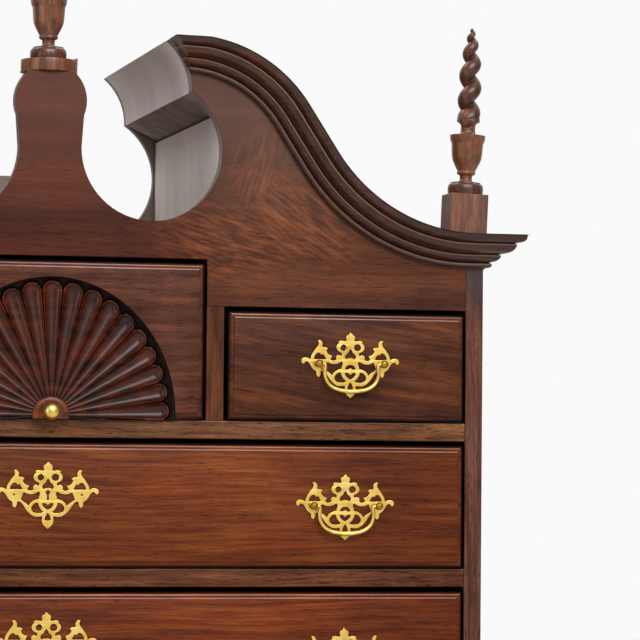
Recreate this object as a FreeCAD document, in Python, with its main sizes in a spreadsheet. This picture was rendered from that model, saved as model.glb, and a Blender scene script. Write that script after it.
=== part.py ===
"""Bonnet-top highboy: an upper case of drawers under a swan-neck bonnet, on a cabriole-legged lower case.

Axes: +Z up, the drawers open towards -Y, +X is the right-hand side seen from the front.
Origin: on the floor, in the middle of the whole object's width and depth. Sizes are millimetres.
"""
import FreeCAD
import Part
import math
import os
import re
import Sketcher

doc = FreeCAD.newDocument("highboy")

# --------------------------------------------------------------------------------------- sizes
SIZES = {
    # upper case
    "case_wide": 1012, "case_deep": 430, "board": 20.5, "blade": 20.5, "blade_deep": 60,
    "back_thick": 12, "waist_height": 890, "runner_wide": 30, "top_thick": 15,
    "long_a": 146.5, "long_b": 161, "long_c": 176, "long_d": 193,
    "small_high": 130, "fan_high": 183, "fan_wide": 361,
    # bonnet: heights are above the blade under the top row of drawers
    "peak_x": 150, "peak_rise": 433, "cornice_rise": 217.5, "upper_radius": 165, "swan_turn": 57,
    "tip_x": 134, "cusp_x": 161, "eye_x": 116, "eye_rise": 306, "eye_radius": 81,
    "plinth_rise": 391, "plinth_half": 26, "plinth_swell": 37.5, "stub_rise": 306,
    "end_radius": 74, "shoulder_radius": 44,
    "shoulder_drop": 49, "mould_high": 39, "mould_out": 41, "roof_thick": 8, "cheek_top": 352,
    "cheek_clear": 2, "top_clear": 8, "corner_plinth": 44, "corner_plinth_high": 48.5, "plinth_over": 4,
    "centre_block": 32, "centre_set": 6,
    # drawers
    "side_gap": 2.5, "top_gap": 4, "glide_gap": 0.4, "front_proud": 8, "front_thick": 22, "box_inset": 1,
    "lip": 6.5, "drawer_side": 12, "drawer_bottom": 8, "drawer_stop": 10, "side_drop": 12,
    # carved fans
    "fan_reach": 131, "fan_rise": 151, "fan_ground": 8, "fan_foot": 4.6, "fan_depth": 4, "petal_round": 2,
    "low_fan_reach": 122, "low_fan_rise": 128, "knob_lift": 6,
    "petals": 19, "boss_radius": 19.5, "boss_high": 2, "knob_radius": 9.5, "knob_stem": 4, "knob_neck": 9,
    # brasses
    "post_span": 76.2, "plate_thick": 1.6, "plate_half_wide": 57.4, "plate_half_high": 38.7, "plate_drop": 2.2,
    "post_out": 7, "post_head": 4.6, "post_neck": 2.6, "pin_radius": 1.6, "pin_gap": 0.4,
    "bail_radius": 2.4, "bail_drop": 32.5, "bail_inset": 6.2, "keyhole_high": 9, "keyhole_wide": 4,
    "pull_x": 341.7, "pull_rise": 0.6, "small_pull_out": 3.1, "small_pull_rise": 3.4,
    # lower case
    "waist_step": 24, "waist_high": 19, "waist_over": 3, "post": 45, "low_long": 110,
    "low_row": 160, "low_centre": 330, "apron_deep": 135, "low_back": 15, "low_back_rise": 20,
    "arch_rise": 60, "pad_half": 24, "pad_rise": 22, "pad_step": 12, "centre_rise": 96, "drop_x": 175,
    "knee_out": 12, "knee_half": 27, "ankle_half": 14, "foot_half": 30, "foot_out": 14, "foot_high": 24,
    "knee_block": 38, "drop_radius": 14, "drop_long": 62,
    # finials
    "finial_radius": 20.8, "finial_disc": 31, "disc_high": 15, "urn_high": 87, "flame_high": 108,
    "flame_pitch": 29, "strand": 9.2, "strand_out": 4.3,
}

# Places worked out from the sizes. "row_z" is the top of the blade under the top row of drawers.
PLACES = {
    "half": "case_wide / 2",
    "inner": "half - board",
    "opening_d": "waist_height + board",
    "opening_c": "opening_d + long_d + blade",
    "opening_b": "opening_c + long_c + blade",
    "opening_a": "opening_b + long_b + blade",
    "row_z": "opening_a + long_a + blade",
    "top_z": "row_z + fan_high + top_clear",
    "cornice_z": "row_z + cornice_rise",
    "mould_z": "cornice_z - mould_high",
    "plinth_z": "row_z + plinth_rise",
    "cheek_x": "eye_x + eye_radius + cheek_clear",
    "cusp_rise": "eye_rise + sqrt(eye_radius * eye_radius - (cusp_x - eye_x) * (cusp_x - eye_x))",
    "tip_rise": "peak_rise - upper_radius + sqrt(upper_radius^2 - (peak_x - tip_x)^2)",
    "swan_sin": "sin(swan_turn * 1 deg)",
    "swan_cos": "cos(swan_turn * 1 deg)",
    "bend_x": "peak_x + upper_radius * swan_sin",
    "bend_rise": "peak_rise - upper_radius * (1 - swan_cos)",
    "lower_radius": "((inner - bend_x) * swan_sin - (bend_rise - cornice_rise) * swan_cos) / (1 - swan_cos)",
    "sweep_x": "inner - lower_radius * swan_sin",
    "sweep_rise": "cornice_rise + lower_radius * (1 - swan_cos)",
    "knob_out": "front_proud + boss_high + knob_neck + 2 * knob_radius",
    "foot_reach": "foot_out + foot_half - post / 2",
    "knob_front": "(knob_out + waist_step + case_deep + foot_reach) / 2",
    "low_front": "knob_out - knob_front",
    "up_front": "low_front + waist_step",
    "back": "up_front + case_deep",
    "scroll_back": "up_front + board",
    "inside_back": "back - back_thick",
    "small_wide": "inner - fan_wide / 2 - board",
    "small_x": "inner - small_wide / 2",
    "low_half": "half + waist_step",
    "post_in": "low_half - post",
    "low_long_z": "waist_height - blade - low_long",
    "low_row_z": "low_long_z - blade - low_row",
    "low_side_wide": "post_in - low_centre / 2 - board",
    "low_side_x": "post_in - low_side_wide / 2",
    "apron_z": "low_row_z - apron_deep",
    "centre_high": "centre_rise - pad_rise - pad_step",
    "centre_radius": "((drop_x - pad_half)^2 + centre_high^2) / (2 * centre_high)",
    "finial_x": "half + plinth_over - corner_plinth / 2",
    "corner_y": "up_front + corner_plinth / 2",
    "centre_y": "scroll_back + centre_set",
}


def add_sheet(name, cells):
    """A spreadsheet with one aliased cell to a row."""
    sheet = doc.addObject("Spreadsheet::Sheet", name)
    for row, (alias, text) in enumerate(cells.items(), start=1):
        sheet.set("A%d" % row, alias)
        sheet.set("B%d" % row, text)
        sheet.setAlias("B%d" % row, alias)
    return sheet


def qualify(text, own=""):
    """Writes every alias in an expression with the name of its sheet."""
    def full_name(match):
        word = match.group(0)
        if word in SIZES:
            return "Sizes." + word
        if word in PLACES and own != "Places":
            return "Places." + word
        return word
    return re.sub(r"[a-z][a-z_]*", full_name, str(text))


sizes = add_sheet("Sizes", {alias: str(number) for alias, number in SIZES.items()})
places = add_sheet("Places", {alias: "=" + qualify(text, "Places") for alias, text in PLACES.items()})
doc.recompute()


def value(text):
    """The number that an expression of aliases stands for."""
    return float(sizes.evalExpression(qualify(text)))


def vector(x, y, z):
    return FreeCAD.Vector(x, y, z)


# -------------------------------------------------------------------------------- ways of building
NODES = []
TURNED_SIDES = 10


def bind_place(piece, x="0", y="0", z="0"):
    """Binds a piece's position to the sheets."""
    piece.setExpression("Placement.Base.x", qualify(x))
    piece.setExpression("Placement.Base.y", qualify(y))
    piece.setExpression("Placement.Base.z", qualify(z))


def block(label, x, y, z):
    """A rectangular board from its three (start, end) pairs of expressions."""
    box = doc.addObject("Part::Box", label)
    box.setExpression("Length", qualify("(%s) - (%s)" % (x[1], x[0])))
    box.setExpression("Width", qualify("(%s) - (%s)" % (y[1], y[0])))
    box.setExpression("Height", qualify("(%s) - (%s)" % (z[1], z[0])))
    bind_place(box, x[0], y[0], z[0])
    return box


def both_sides(label, x, y, z):
    """The same board on the right and, mirrored, on the left."""
    mirrored = ("-(%s)" % x[1], "-(%s)" % x[0])
    return [block(label + "_right", x, y, z), block(label + "_left", mirrored, y, z)]


def cut(label, base, tool):
    piece = doc.addObject("Part::Cut", label)
    piece.Base = base
    piece.Tool = tool
    return piece


def feature(label, shape, place=None):
    """A piece whose shape is worked out here from the sheets' values."""
    piece = doc.addObject("Part::Feature", label)
    piece.Shape = shape
    if place:
        piece.Placement = FreeCAD.Placement(place, FreeCAD.Rotation())
    return piece


def node(name, parts):
    """One named sub-part: a group of separate solids, written to its own file."""
    group = doc.addObject("Part::Compound", name)
    group.Links = parts
    group.Label = name
    NODES.append(group)
    return group


def origin_plane(body, role):
    for plane in body.Origin.OriginFeatures:
        if plane.Role == role:
            return plane


def outline_body(label, corners, thick, front):
    """A board sawn to an outline in X and Z: half the outline is drawn, padded and mirrored about X = 0.

    corners: (x, z) expressions in order, or (x, z, radius, side) where the edge that arrives there is an
    arc of that radius that bulges to the left (side +1) or the right (side -1) of its direction.
    """
    body = doc.addObject("PartDesign::Body", label)
    sketch = body.newObject("Sketcher::SketchObject", label + "_outline")
    sketch.AttachmentSupport = (origin_plane(body, "XZ_Plane"), [""])
    sketch.MapMode = "FlatFace"
    points = [vector(value(corner[0]), value(corner[1]), 0) for corner in corners]
    for index, corner in enumerate(corners):
        start = points[index - 1]
        end = points[index]
        if len(corner) > 2:
            edge = bulged_arc(start, end, value(corner[2]), corner[3])
        else:
            edge = Part.LineSegment(start, end)
        sketch.addGeometry(edge, False)
    for index, corner in enumerate(corners):
        following = (index + 1) % len(corners)
        finish = 2
        if len(corner) > 2 and corner[3] > 0:
            finish = 1
        begin = 1
        if len(corners[following]) > 2 and corners[following][3] > 0:
            begin = 2
        sketch.addConstraint(Sketcher.Constraint("Coincident", index, finish, following, begin))
        for kind, text in (("DistanceX", corner[0]), ("DistanceY", corner[1])):
            number = sketch.addConstraint(Sketcher.Constraint(kind, -1, 1, index, finish, value(text)))
            sketch.setExpression("Constraints[%d]" % number, qualify(text))
        if len(corner) > 2:
            number = sketch.addConstraint(Sketcher.Constraint("Radius", index, value(corner[2])))
            sketch.setExpression("Constraints[%d]" % number, qualify(corner[2]))
    pad = body.newObject("PartDesign::Pad", label + "_pad")
    pad.Profile = sketch
    pad.setExpression("Length", qualify(thick))
    pad.Reversed = True
    mirror = body.newObject("PartDesign::Mirrored", label + "_mirror")
    mirror.Originals = [pad]
    mirror.MirrorPlane = (origin_plane(body, "YZ_Plane"), [""])
    body.Tip = mirror
    bind_place(body, "0", front, "0")
    return body


def bulged_arc(start, end, radius, side):
    """An arc of under half a turn from start to end, to the left (+1) or right (-1) of the chord."""
    chord = end - start
    half_chord = chord.Length / 2
    rise = radius - math.sqrt(radius ** 2 - half_chord ** 2)
    left = vector(-chord.y, chord.x, 0).normalize()
    middle = (start + end) / 2 + left * (side * rise)
    return Part.Arc(start, middle, end)


def flat_face(points):
    return Part.Face(Part.makePolygon(points + points[:1]))


def ruled_solid(rings):
    """A closed solid of flat facets between rings of points, each ring with as many points as the next."""
    faces = [flat_face(rings[0]), flat_face(rings[-1])]
    count = len(rings[0])
    for low, high in zip(rings, rings[1:]):
        for index in range(count):
            after = (index + 1) % count
            corners = [low[index], low[after], high[after], high[index]]
            normal = (corners[1] - corners[0]).cross(corners[2] - corners[0]).normalize()
            if abs(normal.dot(corners[3] - corners[0])) < 1e-6:
                faces.append(flat_face(corners))
            else:
                faces.append(flat_face([corners[0], corners[1], corners[2]]))
                faces.append(flat_face([corners[0], corners[2], corners[3]]))
    return Part.Solid(Part.Shell(faces))


def ring_of_points(sides, radius, centre, turn=0.0):
    """The corners of a regular polygon in a horizontal plane."""
    steps = [turn + 2 * math.pi * index / sides for index in range(sides)]
    return [centre + vector(radius * math.cos(angle), radius * math.sin(angle), 0) for angle in steps]


def turned(rings, sides=TURNED_SIDES):
    """A turned solid from (radius, height) numbers, bottom first, standing on the Z axis."""
    return ruled_solid([ring_of_points(sides, radius, vector(0, 0, height)) for radius, height in rings])


def prism(points, direction):
    """A solid pushed along a direction from a closed outline."""
    return Part.Face(Part.makePolygon(points + points[:1])).extrude(direction)


# -------------------------------------------------------------------------------- upper case
BETWEEN = ("-inner", "inner")
UP_DEEP = ("up_front", "back")
UP_INSIDE = ("up_front", "inside_back")
node("upper_sides", both_sides("upper_side", ("inner", "half"), UP_DEEP, ("waist_height", "cornice_z")))
node("upper_boards", [
    block("case_floor", BETWEEN, UP_INSIDE, ("waist_height", "opening_d")),
    block("case_top", BETWEEN, ("scroll_back", "inside_back"), ("top_z", "top_z + top_thick")),
])

BACK_BOARDS = 4
back_boards = []
for number in range(BACK_BOARDS):
    low = "waist_height + (mould_z - waist_height) * %d / %d" % (number, BACK_BOARDS)
    high = "waist_height + (mould_z - waist_height) * %d / %d" % (number + 1, BACK_BOARDS)
    back_boards.append(block("back_board_%d" % number, BETWEEN, ("inside_back", "back"), (low, high)))
node("upper_back", back_boards)

# (bottom of the opening, its height) of the four long drawers, the lowest last
LONG_DRAWERS = {
    "long_drawer_1": ("opening_a", "long_a"),
    "long_drawer_2": ("opening_b", "long_b"),
    "long_drawer_3": ("opening_c", "long_c"),
    "long_drawer_4": ("opening_d", "long_d"),
}
blades = []
runners = []
RUNNER_DEEP = ("up_front + blade_deep", "inside_back")
for name, (low, high) in LONG_DRAWERS.items():
    level = ("%s + %s" % (low, high), "%s + %s + blade" % (low, high))
    blades.append(block(name + "_blade", BETWEEN, ("up_front", "up_front + blade_deep"), level))
    runners += both_sides(name + "_runner", ("inner - runner_wide", "inner"), RUNNER_DEEP, level)
ROW_LEVEL = ("row_z - blade", "row_z")
INNER_RUNNER = ("fan_wide / 2 - runner_wide / 2", "fan_wide / 2 + board + runner_wide / 2")
runners += both_sides("row_runner", INNER_RUNNER, RUNNER_DEEP, ROW_LEVEL)
node("upper_blades", blades)
node("upper_runners", runners)

# The partitions stand behind the scroll board and are notched so that their lower front edges show.
PARTITION = ("fan_wide / 2", "fan_wide / 2 + board")
partitions = both_sides("partition", PARTITION, UP_INSIDE, ("row_z", "top_z"))
NOTCH = ("up_front", "scroll_back")
notches = both_sides("partition_notch", PARTITION, NOTCH, ("row_z + small_high", "top_z"))
node("upper_partitions", [
    cut("partition_right_notched", partitions[0], notches[0]),
    cut("partition_left_notched", partitions[1], notches[1]),
])


# -------------------------------------------------------------------------------- bonnet
def crest(top, side_low):
    """The half outline from the scroll's lower outer corner, over the swan neck, to the centre."""
    return [
        ("inner", side_low),
        ("inner", "row_z + cornice_rise"),
        ("sweep_x", "row_z + sweep_rise", "lower_radius", 1),
        ("bend_x", "row_z + bend_rise"),
        ("tip_x", "row_z + tip_rise", "upper_radius", -1),
        ("cusp_x", "row_z + cusp_rise", "end_radius", 1),
        ("eye_x + eye_radius", "row_z + eye_rise", "eye_radius", 1),
        ("eye_x", "row_z + eye_rise - eye_radius", "eye_radius", 1),
        ("eye_x - eye_radius", "row_z + eye_rise", "eye_radius", 1),
    ] + top


front_outline = [("0", "row_z + fan_high"), ("fan_wide / 2", "row_z + fan_high"),
                 ("fan_wide / 2", "row_z + small_high")]
front_outline += crest([
    ("plinth_swell", "plinth_z - shoulder_drop"),
    ("plinth_half", "plinth_z", "shoulder_radius", -1),
    ("0", "plinth_z"),
], "row_z + small_high")
scroll_board = outline_body("scroll_front", front_outline, "board", "up_front")
node("scroll_board", [scroll_board])

rear_outline = [("0", "mould_z")]
rear_outline += crest([("0", "row_z + stub_rise")], "mould_z")
node("bonnet_back", [outline_body("scroll_rear", rear_outline, "back_thick", "inside_back")])

# numbers that the curved pieces below share
row_z = value("row_z")
up_front = value("up_front")
half = value("half")
inner = value("inner")
back = value("back")
out = value("mould_out")
high = value("mould_high")
upper_radius = value("upper_radius")
lower_radius = value("lower_radius")
turn = math.radians(value("swan_turn"))
upper_centre = vector(value("peak_x"), 0, row_z + value("peak_rise") - upper_radius)
lower_centre = vector(inner, 0, row_z + value("cornice_rise") + lower_radius)


def on_upper(angle, inset=0.0):
    """A point on the swan neck's upper arc, at an angle from its peak (clockwise is positive)."""
    reach = upper_radius - inset
    return upper_centre + vector(reach * math.sin(angle), 0, reach * math.cos(angle))


def on_lower(angle, inset=0.0):
    """A point on the lower arc, at an angle back from where it runs level."""
    reach = lower_radius + inset
    return lower_centre - vector(reach * math.sin(angle), 0, reach * math.cos(angle))


def swan_edges(start_angle, end_x, inset=0.0):
    """The swan neck's line from a point on the upper arc to the level run's end."""
    first = on_upper(start_angle, inset)
    bend = on_upper(turn, inset)
    sweep = on_lower(turn, inset)
    level = on_lower(0, inset)
    edges = [
        Part.Arc(first, on_upper((start_angle + turn) / 2, inset), bend).toShape(),
        Part.LineSegment(bend, sweep).toShape(),
        Part.Arc(sweep, on_lower(turn / 2, inset), level).toShape(),
    ]
    if end_x > level.x + 0.01:
        edges.append(Part.LineSegment(level, vector(end_x, 0, level.z)).toShape())
    return edges


tip_angle = -math.asin((value("peak_x") - value("tip_x")) / upper_radius)
tip = on_upper(tip_angle)
cusp = vector(value("cusp_x"), 0, row_z + value("cusp_rise"))
end_arc = bulged_arc(vector(cusp.x, cusp.z, 0), vector(tip.x, tip.z, 0), value("end_radius"), -1)
end_middle = end_arc.value((end_arc.FirstParameter + end_arc.LastParameter) / 2)


def end_edge(shift=0.0):
    """The hollow end of the scroll, moved sideways by a board's thickness."""
    move = vector(shift, 0, 0)
    return Part.Arc(cusp + move, vector(end_middle.x, 0, end_middle.y) + move, tip + move).toShape()


def mould_profile():
    """(distance out, distance down) of the cornice moulding, from its top outer corner to its foot."""
    steps = [(1, 0), (1, 0.07), (0.78, 0.26), (0.69, 0.43), (0.42, 0.57), (0.3, 0.76), (0.18, 0.84), (0.08, 1)]
    return [(out * x, high * z) for x, z in steps]


def swan_neck():
    """The right-hand swan-neck moulding: the profile swept along the crest, cut at both its ends."""
    overrun = 0.12
    start = tip_angle - overrun
    spine = Part.Wire(swan_edges(start, half + out))
    origin = on_upper(start)
    down = (upper_centre - origin).normalize()
    section = [origin] + [origin + vector(0, -x, 0) + down * z for x, z in mould_profile()]
    section.append(origin + down * high)
    solid = spine.makePipeShell([Part.makePolygon(section + section[:1])], True, False)
    behind = tip.x - 2 * high
    outline = Part.Wire([
        end_edge(),
        Part.LineSegment(tip, tip + vector(0, 0, high)).toShape(),
        Part.LineSegment(tip + vector(0, 0, high), vector(behind, 0, tip.z + high)).toShape(),
        Part.LineSegment(vector(behind, 0, tip.z + high), vector(behind, 0, cusp.z)).toShape(),
        Part.LineSegment(vector(behind, 0, cusp.z), cusp).toShape(),
    ])
    waste = Part.Face(outline).extrude(vector(0, -2 * out, 0))
    waste.translate(vector(0, out / 2, 0))
    solid = solid.cut(waste)
    solid = solid.cut(mitre_wedge(lower_centre.z - lower_radius, True))
    solid.translate(vector(0, up_front, 0))
    return solid


def mitre_wedge(top, front):
    """The waste beyond the 45 degree mitre at the right front corner, for the front or the side run."""
    reach = 2 * out
    corner = vector(half, 0, top - 2 * high)
    if front:
        points = [corner, corner + vector(reach, -reach, 0), corner + vector(reach, 0, 0)]
    else:
        points = [corner, corner + vector(reach, -reach, 0), corner + vector(0, -reach, 0)]
    return prism(points, vector(0, 0, 3 * high))


def side_cornice():
    """The right-hand cornice return, from the mitre to the back."""
    top = lower_centre.z - lower_radius
    section = [vector(half, -out, top)] + [vector(half + x, -out, top - z) for x, z in mould_profile()]
    section.append(vector(half, -out, top - high))
    solid = prism(section, vector(0, out + back - up_front, 0))
    solid = solid.cut(mitre_wedge(top, False))
    solid.translate(vector(0, up_front, 0))
    return solid


def pair(label, shape):
    """A piece and its mirror image on the other side."""
    other = shape.mirror(vector(0, 0, 0), vector(1, 0, 0))
    return [feature(label + "_right", shape), feature(label + "_left", other)]


node("swan_necks", pair("swan_neck", swan_neck()))
node("side_cornices", pair("side_cornice", side_cornice()))


def sheet_between(edges_outer, edges_inner, ends):
    """A bent board between the front and rear scroll boards, from its outer and inner lines."""
    outline = Part.Wire(Part.__sortEdges__(edges_outer + edges_inner + ends))
    deep = value("inside_back") - value("scroll_back")
    solid = Part.Face(outline).extrude(vector(0, deep, 0))
    solid.translate(vector(0, value("scroll_back"), 0))
    return solid


def roof():
    thick = value("roof_thick")
    start = tip_angle + 1.6 * thick / upper_radius
    outer = swan_edges(start, inner)
    under = swan_edges(start, inner, thick)
    ends = [
        Part.LineSegment(on_upper(start), on_upper(start, thick)).toShape(),
        Part.LineSegment(on_lower(0), on_lower(0, thick)).toShape(),
    ]
    return sheet_between(outer, under, ends)


def end_board():
    """Closes the end of the hollow bonnet along the scroll's curved end."""
    thick = value("roof_thick")
    roof_box = roof()
    ends = [
        Part.LineSegment(tip, tip + vector(thick, 0, 0)).toShape(),
        Part.LineSegment(cusp, cusp + vector(thick, 0, 0)).toShape(),
    ]
    return sheet_between([end_edge()], [end_edge(thick)], ends).cut(roof_box)


def soffit():
    """Runs from the foot of the end board down to the top of the cheek."""
    thick = value("roof_thick")
    cheek = vector(value("cheek_x") + thick, 0, row_z + value("cheek_top"))
    lift = vector(0, 0, thick)
    points = [cusp, cusp + lift * 0.99, cheek + lift, cheek]
    points = [point + vector(0, value("scroll_back"), 0) for point in points]
    board = prism(points, vector(0, value("inside_back") - value("scroll_back"), 0))
    return board.cut(end_board())


roof_boards = pair("roof_board", roof())
node("bonnet_roof", roof_boards)
lining = pair("end_board", end_board()) + pair("soffit", soffit())
CHEEK = ("cheek_x", "cheek_x + roof_thick")
SCROLL_GAP = ("scroll_back", "inside_back")
CHEEK_HIGH = ("top_z + top_thick", "row_z + cheek_top")
node("bonnet_lining", lining + both_sides("cheek", CHEEK, SCROLL_GAP, CHEEK_HIGH))

PLINTH_X = ("half + plinth_over - corner_plinth", "half + plinth_over")
PLINTH_Y = ("up_front", "up_front + corner_plinth")
PLINTH_HIGH = ("cornice_z", "cornice_z + corner_plinth_high")
# The corner plinths are scribed over the crest, which rises a little before it meets their inner sides.
plinths = []
for squared, roof_board in zip(both_sides("corner_block", PLINTH_X, PLINTH_Y, PLINTH_HIGH), roof_boards):
    over_board = cut(squared.Label + "_over_board", squared, scroll_board)
    plinths.append(cut(squared.Label + "_scribed", over_board, roof_board))
CENTRE_Y = ("scroll_back", "scroll_back + centre_block")
plinths.append(block("centre_block", ("-plinth_half", "plinth_half"), CENTRE_Y,
                     ("row_z + stub_rise", "plinth_z")))
node("finial_plinths", plinths)


# -------------------------------------------------------------------------------- finials
def finial():
    """An urn with a cup that holds a single-start corkscrew flame."""
    wide = value("finial_radius")
    urn = value("urn_high")
    rings = [(0.9, 0), (1, 0.05), (0.96, 0.13), (0.36, 0.2), (0.36, 0.27), (0.52, 0.31), (0.78, 0.46),
             (0.88, 0.66), (1, 0.75), (1, 0.8), (0.42, 0.81), (0.44, 0.93), (0.65, 0.98), (0.45, 1)]
    body = turned([(wide * x, urn * z) for x, z in rings])
    flame = value("flame_high")
    per_turn = 6
    count = round(per_turn * flame / value("flame_pitch"))
    rings = []
    for step in range(count + 1):
        along = step / count
        taper = math.sqrt(max(1 - along ** 2, 0.01))
        angle = 2 * math.pi * step / per_turn
        reach = value("strand_out") * taper
        centre = vector(reach * math.cos(angle), reach * math.sin(angle), urn - 1 + (flame + 1) * along)
        rings.append(ring_of_points(5, value("strand") * taper, centre))
    return body.fuse(ruled_solid(rings))


FINIALS = {
    "finial_right": (value("finial_x"), value("corner_y"), row_z + value("cornice_rise + corner_plinth_high")),
    "finial_left": (-value("finial_x"), value("corner_y"), row_z + value("cornice_rise + corner_plinth_high")),
    "finial_centre": (0, value("centre_y"), value("plinth_z + disc_high")),
}
finials = [feature(name, finial(), vector(*place)) for name, place in FINIALS.items()]
disc = doc.addObject("Part::Cylinder", "finial_disc")
disc.setExpression("Radius", qualify("finial_disc"))
disc.setExpression("Height", qualify("disc_high"))
bind_place(disc, "0", "centre_y", "plinth_z")
node("finials", finials + [disc])


# -------------------------------------------------------------------------------- brasses
def plate_outline():
    """Right half of the pierced back plate as (across, up) shares of its half width and half height."""
    return [(0, 1), (0.26, 0.73), (0.27, 0.47), (0.19, 0.34), (0.34, 0.14), (0.48, 0.4), (0.63, 0.76),
            (0.81, 0.26), (1, 0.14), (0.82, 0.02), (0.64, -0.35), (0.34, -0.58), (0.12, -0.63), (0, -1)]


# (across, up) shares of the wide opening between the right wing, the middle ring and the strap below
SIDE_OPENING = [(0.18, 0.13), (0.47, 0.09), (0.52, -0.1), (0.37, -0.28), (0.17, -0.1)]


def scaled(shares):
    """Points of the plate in X and Z; its middle is a little below the posts' axis."""
    wide = value("plate_half_wide")
    tall = value("plate_half_high")
    middle = vector(0, 0, -value("plate_drop"))
    return [middle + vector(wide * x, 0, tall * z) for x, z in shares]


def back_plate():
    """The plate, standing in X and Z with its back on Y = 0."""
    thick = value("plate_thick")
    right = plate_outline()
    left = [(-x, z) for x, z in reversed(right[1:-1])]
    plate = prism(scaled(right + left), vector(0, -thick, 0))
    for hole in (SIDE_OPENING, [(-x, z) for x, z in SIDE_OPENING]):
        plate = plate.cut(prism(scaled(hole), vector(0, -thick, 0)))
    return plate


def flat_ring(sides, radius, x, centre):
    """The corners of a regular polygon across the X axis."""
    steps = [2 * math.pi * (index + 0.5) / sides for index in range(sides)]
    return [centre + vector(x, radius * math.cos(angle), radius * math.sin(angle)) for angle in steps]


def post():
    """The right-hand post: a square neck and a barrel head bored for the bail's pin from the inner side."""
    neck = value("post_neck")
    reach = value("post_out")
    head = value("post_head")
    axis = vector(0, -reach, 0)
    barrel = ruled_solid([flat_ring(6, head, -0.8 * head, axis), flat_ring(6, 0.8 * head, 0.9 * head, axis)])
    bore_end = 0.5 * head
    bore_radius = value("pin_radius + pin_gap")
    bore = ruled_solid([flat_ring(4, 1.41 * bore_radius, x, axis) for x in (-2 * head, bore_end)])
    stem = Part.makeBox(2 * neck, reach - 0.5 * head, 2 * neck, vector(-neck, 0.5 * head - reach, -neck))
    return barrel.fuse(stem).cut(bore)


def bar_through(points, radii, sides=5):
    """A faceted bar through points in the X-Z plane, mitred at each, with a radius at each point."""
    rings = []
    for index, point in enumerate(points):
        before = points[max(index - 1, 0)]
        after = points[min(index + 1, len(points) - 1)]
        arrive = (point - before) if index > 0 else (after - point)
        leave = (after - point) if index < len(points) - 1 else (point - before)
        along = (arrive.normalize() + leave.normalize()).normalize()
        stretch = 1 / along.dot(leave)
        across = vector(along.z, 0, -along.x) * stretch
        corners = []
        for step in range(sides):
            angle = 2 * math.pi * step / sides
            corner = across * math.cos(angle) + vector(0, math.sin(angle), 0)
            corners.append(point + corner * radii[index])
        rings.append(corners)
    return ruled_solid(rings)


def bail():
    """The swinging handle: pins in line on the X axis, arms and a bow that hangs below them."""
    span = value("post_span") / 2
    arm = span - value("bail_inset")
    drop = value("bail_drop")
    pin = value("pin_radius")
    bar = value("bail_radius")
    right = [(span + 0.2 * value("post_head"), 0, pin), (arm, 0, 1.1 * pin), (arm, -0.35 * drop, 0.85 * bar),
             (0.83 * arm, -0.78 * drop, 0.9 * bar), (0.4 * arm, -drop, bar)]
    whole = right + [(-x, z, radius) for x, z, radius in reversed(right)]
    return bar_through([vector(x, 0, z) for x, z, radius in whole], [radius for x, z, radius in whole])


def knob():
    """A turned ball knob on a waisted stem, standing out along -Y from Y = 0."""
    ball = value("knob_radius")
    neck = value("knob_neck")
    stem = value("knob_stem")
    rings = [(1.7 * stem, 0), (stem, 0.3 * neck), (stem, neck), (0.75 * ball, neck + 0.34 * ball),
             (ball, neck + ball), (0.75 * ball, neck + 1.66 * ball), (0.1 * ball, neck + 2 * ball)]
    upright = [ring_of_points(TURNED_SIDES, radius, vector(0, 0, height)) for radius, height in rings]
    return ruled_solid([[vector(point.x, -point.z, point.y) for point in ring] for ring in upright])


PLATE = back_plate()
POST = post()
BAIL = bail()
KNOB = knob()


def pull(label, x, face, z):
    """A back plate with its two posts, its middle at (x, z) on a drawer's face."""
    post_x = value("post_span") / 2
    seat = face - value("plate_thick")
    left_post = POST.mirror(vector(0, 0, 0), vector(1, 0, 0))
    return [
        feature(label + "_plate", PLATE.copy(), vector(x, face, z)),
        feature(label + "_post_right", POST.copy(), vector(x + post_x, seat, z)),
        feature(label + "_post_left", left_post, vector(x - post_x, seat, z)),
    ]


def keyhole_plate(label, x, face, z):
    """The same plate with a keyhole between its wings, and no posts."""
    thick = value("plate_thick")
    tall = value("keyhole_high")
    half_wide = value("keyhole_wide") / 2
    hole = prism([vector(-half_wide, 0, tall), vector(half_wide, 0, tall), vector(0.7 * half_wide, 0, 0),
                  vector(-0.7 * half_wide, 0, 0)], vector(0, -thick, 0))
    return feature(label + "_escutcheon", PLATE.cut(hole), vector(x, face, z))


# -------------------------------------------------------------------------------- carved fans
def fan_radius(angle, reach, rise):
    """The fan's outer ellipse at an angle from its right-hand foot."""
    return 1 / math.hypot(math.cos(angle) / reach, math.sin(angle) / rise)


def fan_point(angle, radius, depth):
    return vector(radius * math.cos(angle), depth, radius * math.sin(angle))


def flute_section(angle, radius, half_wide, deep):
    """The hollow of a petal, cut square across its length."""
    across = vector(-math.sin(angle), 0, math.cos(angle))
    middle = fan_point(angle, radius, 0)
    shape = [(-1, -0.5), (-1, 0), (-0.5, 0.85), (0.5, 0.85), (1, 0), (1, -0.5)]
    return [middle + across * (half_wide * x) + vector(0, deep * y, 0) for x, y in shape]


def fan_waste(reach, rise):
    """What the carver takes out: one hollow for each petal and the sunk ground round their ends."""
    count = int(value("petals"))
    spacing = math.pi / (count - 1)
    deep = value("fan_depth")
    ground = value("fan_ground")
    start = 1.25 * value("boss_radius")
    waste = []
    for index in range(count):
        angle = index * spacing
        end = fan_radius(angle, reach, rise) - value("petal_round")
        spread = math.tan(0.43 * spacing)
        waste.append(ruled_solid([
            flute_section(angle, start, start * spread, 0.4 * deep),
            flute_section(angle, end, end * spread, deep),
        ]))
    rim = []
    edge = []
    for index in range(count + 1):
        angle = (index - 0.5) * spacing
        radius = fan_radius(angle, reach, rise)
        rim.append(fan_point(angle, radius + value("petal_round") / 2, -deep))
        edge.append(fan_point(angle, radius + ground, -deep))
    waste.append(prism(rim + edge[::-1], vector(0, 2 * deep, 0)))
    return waste


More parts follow.
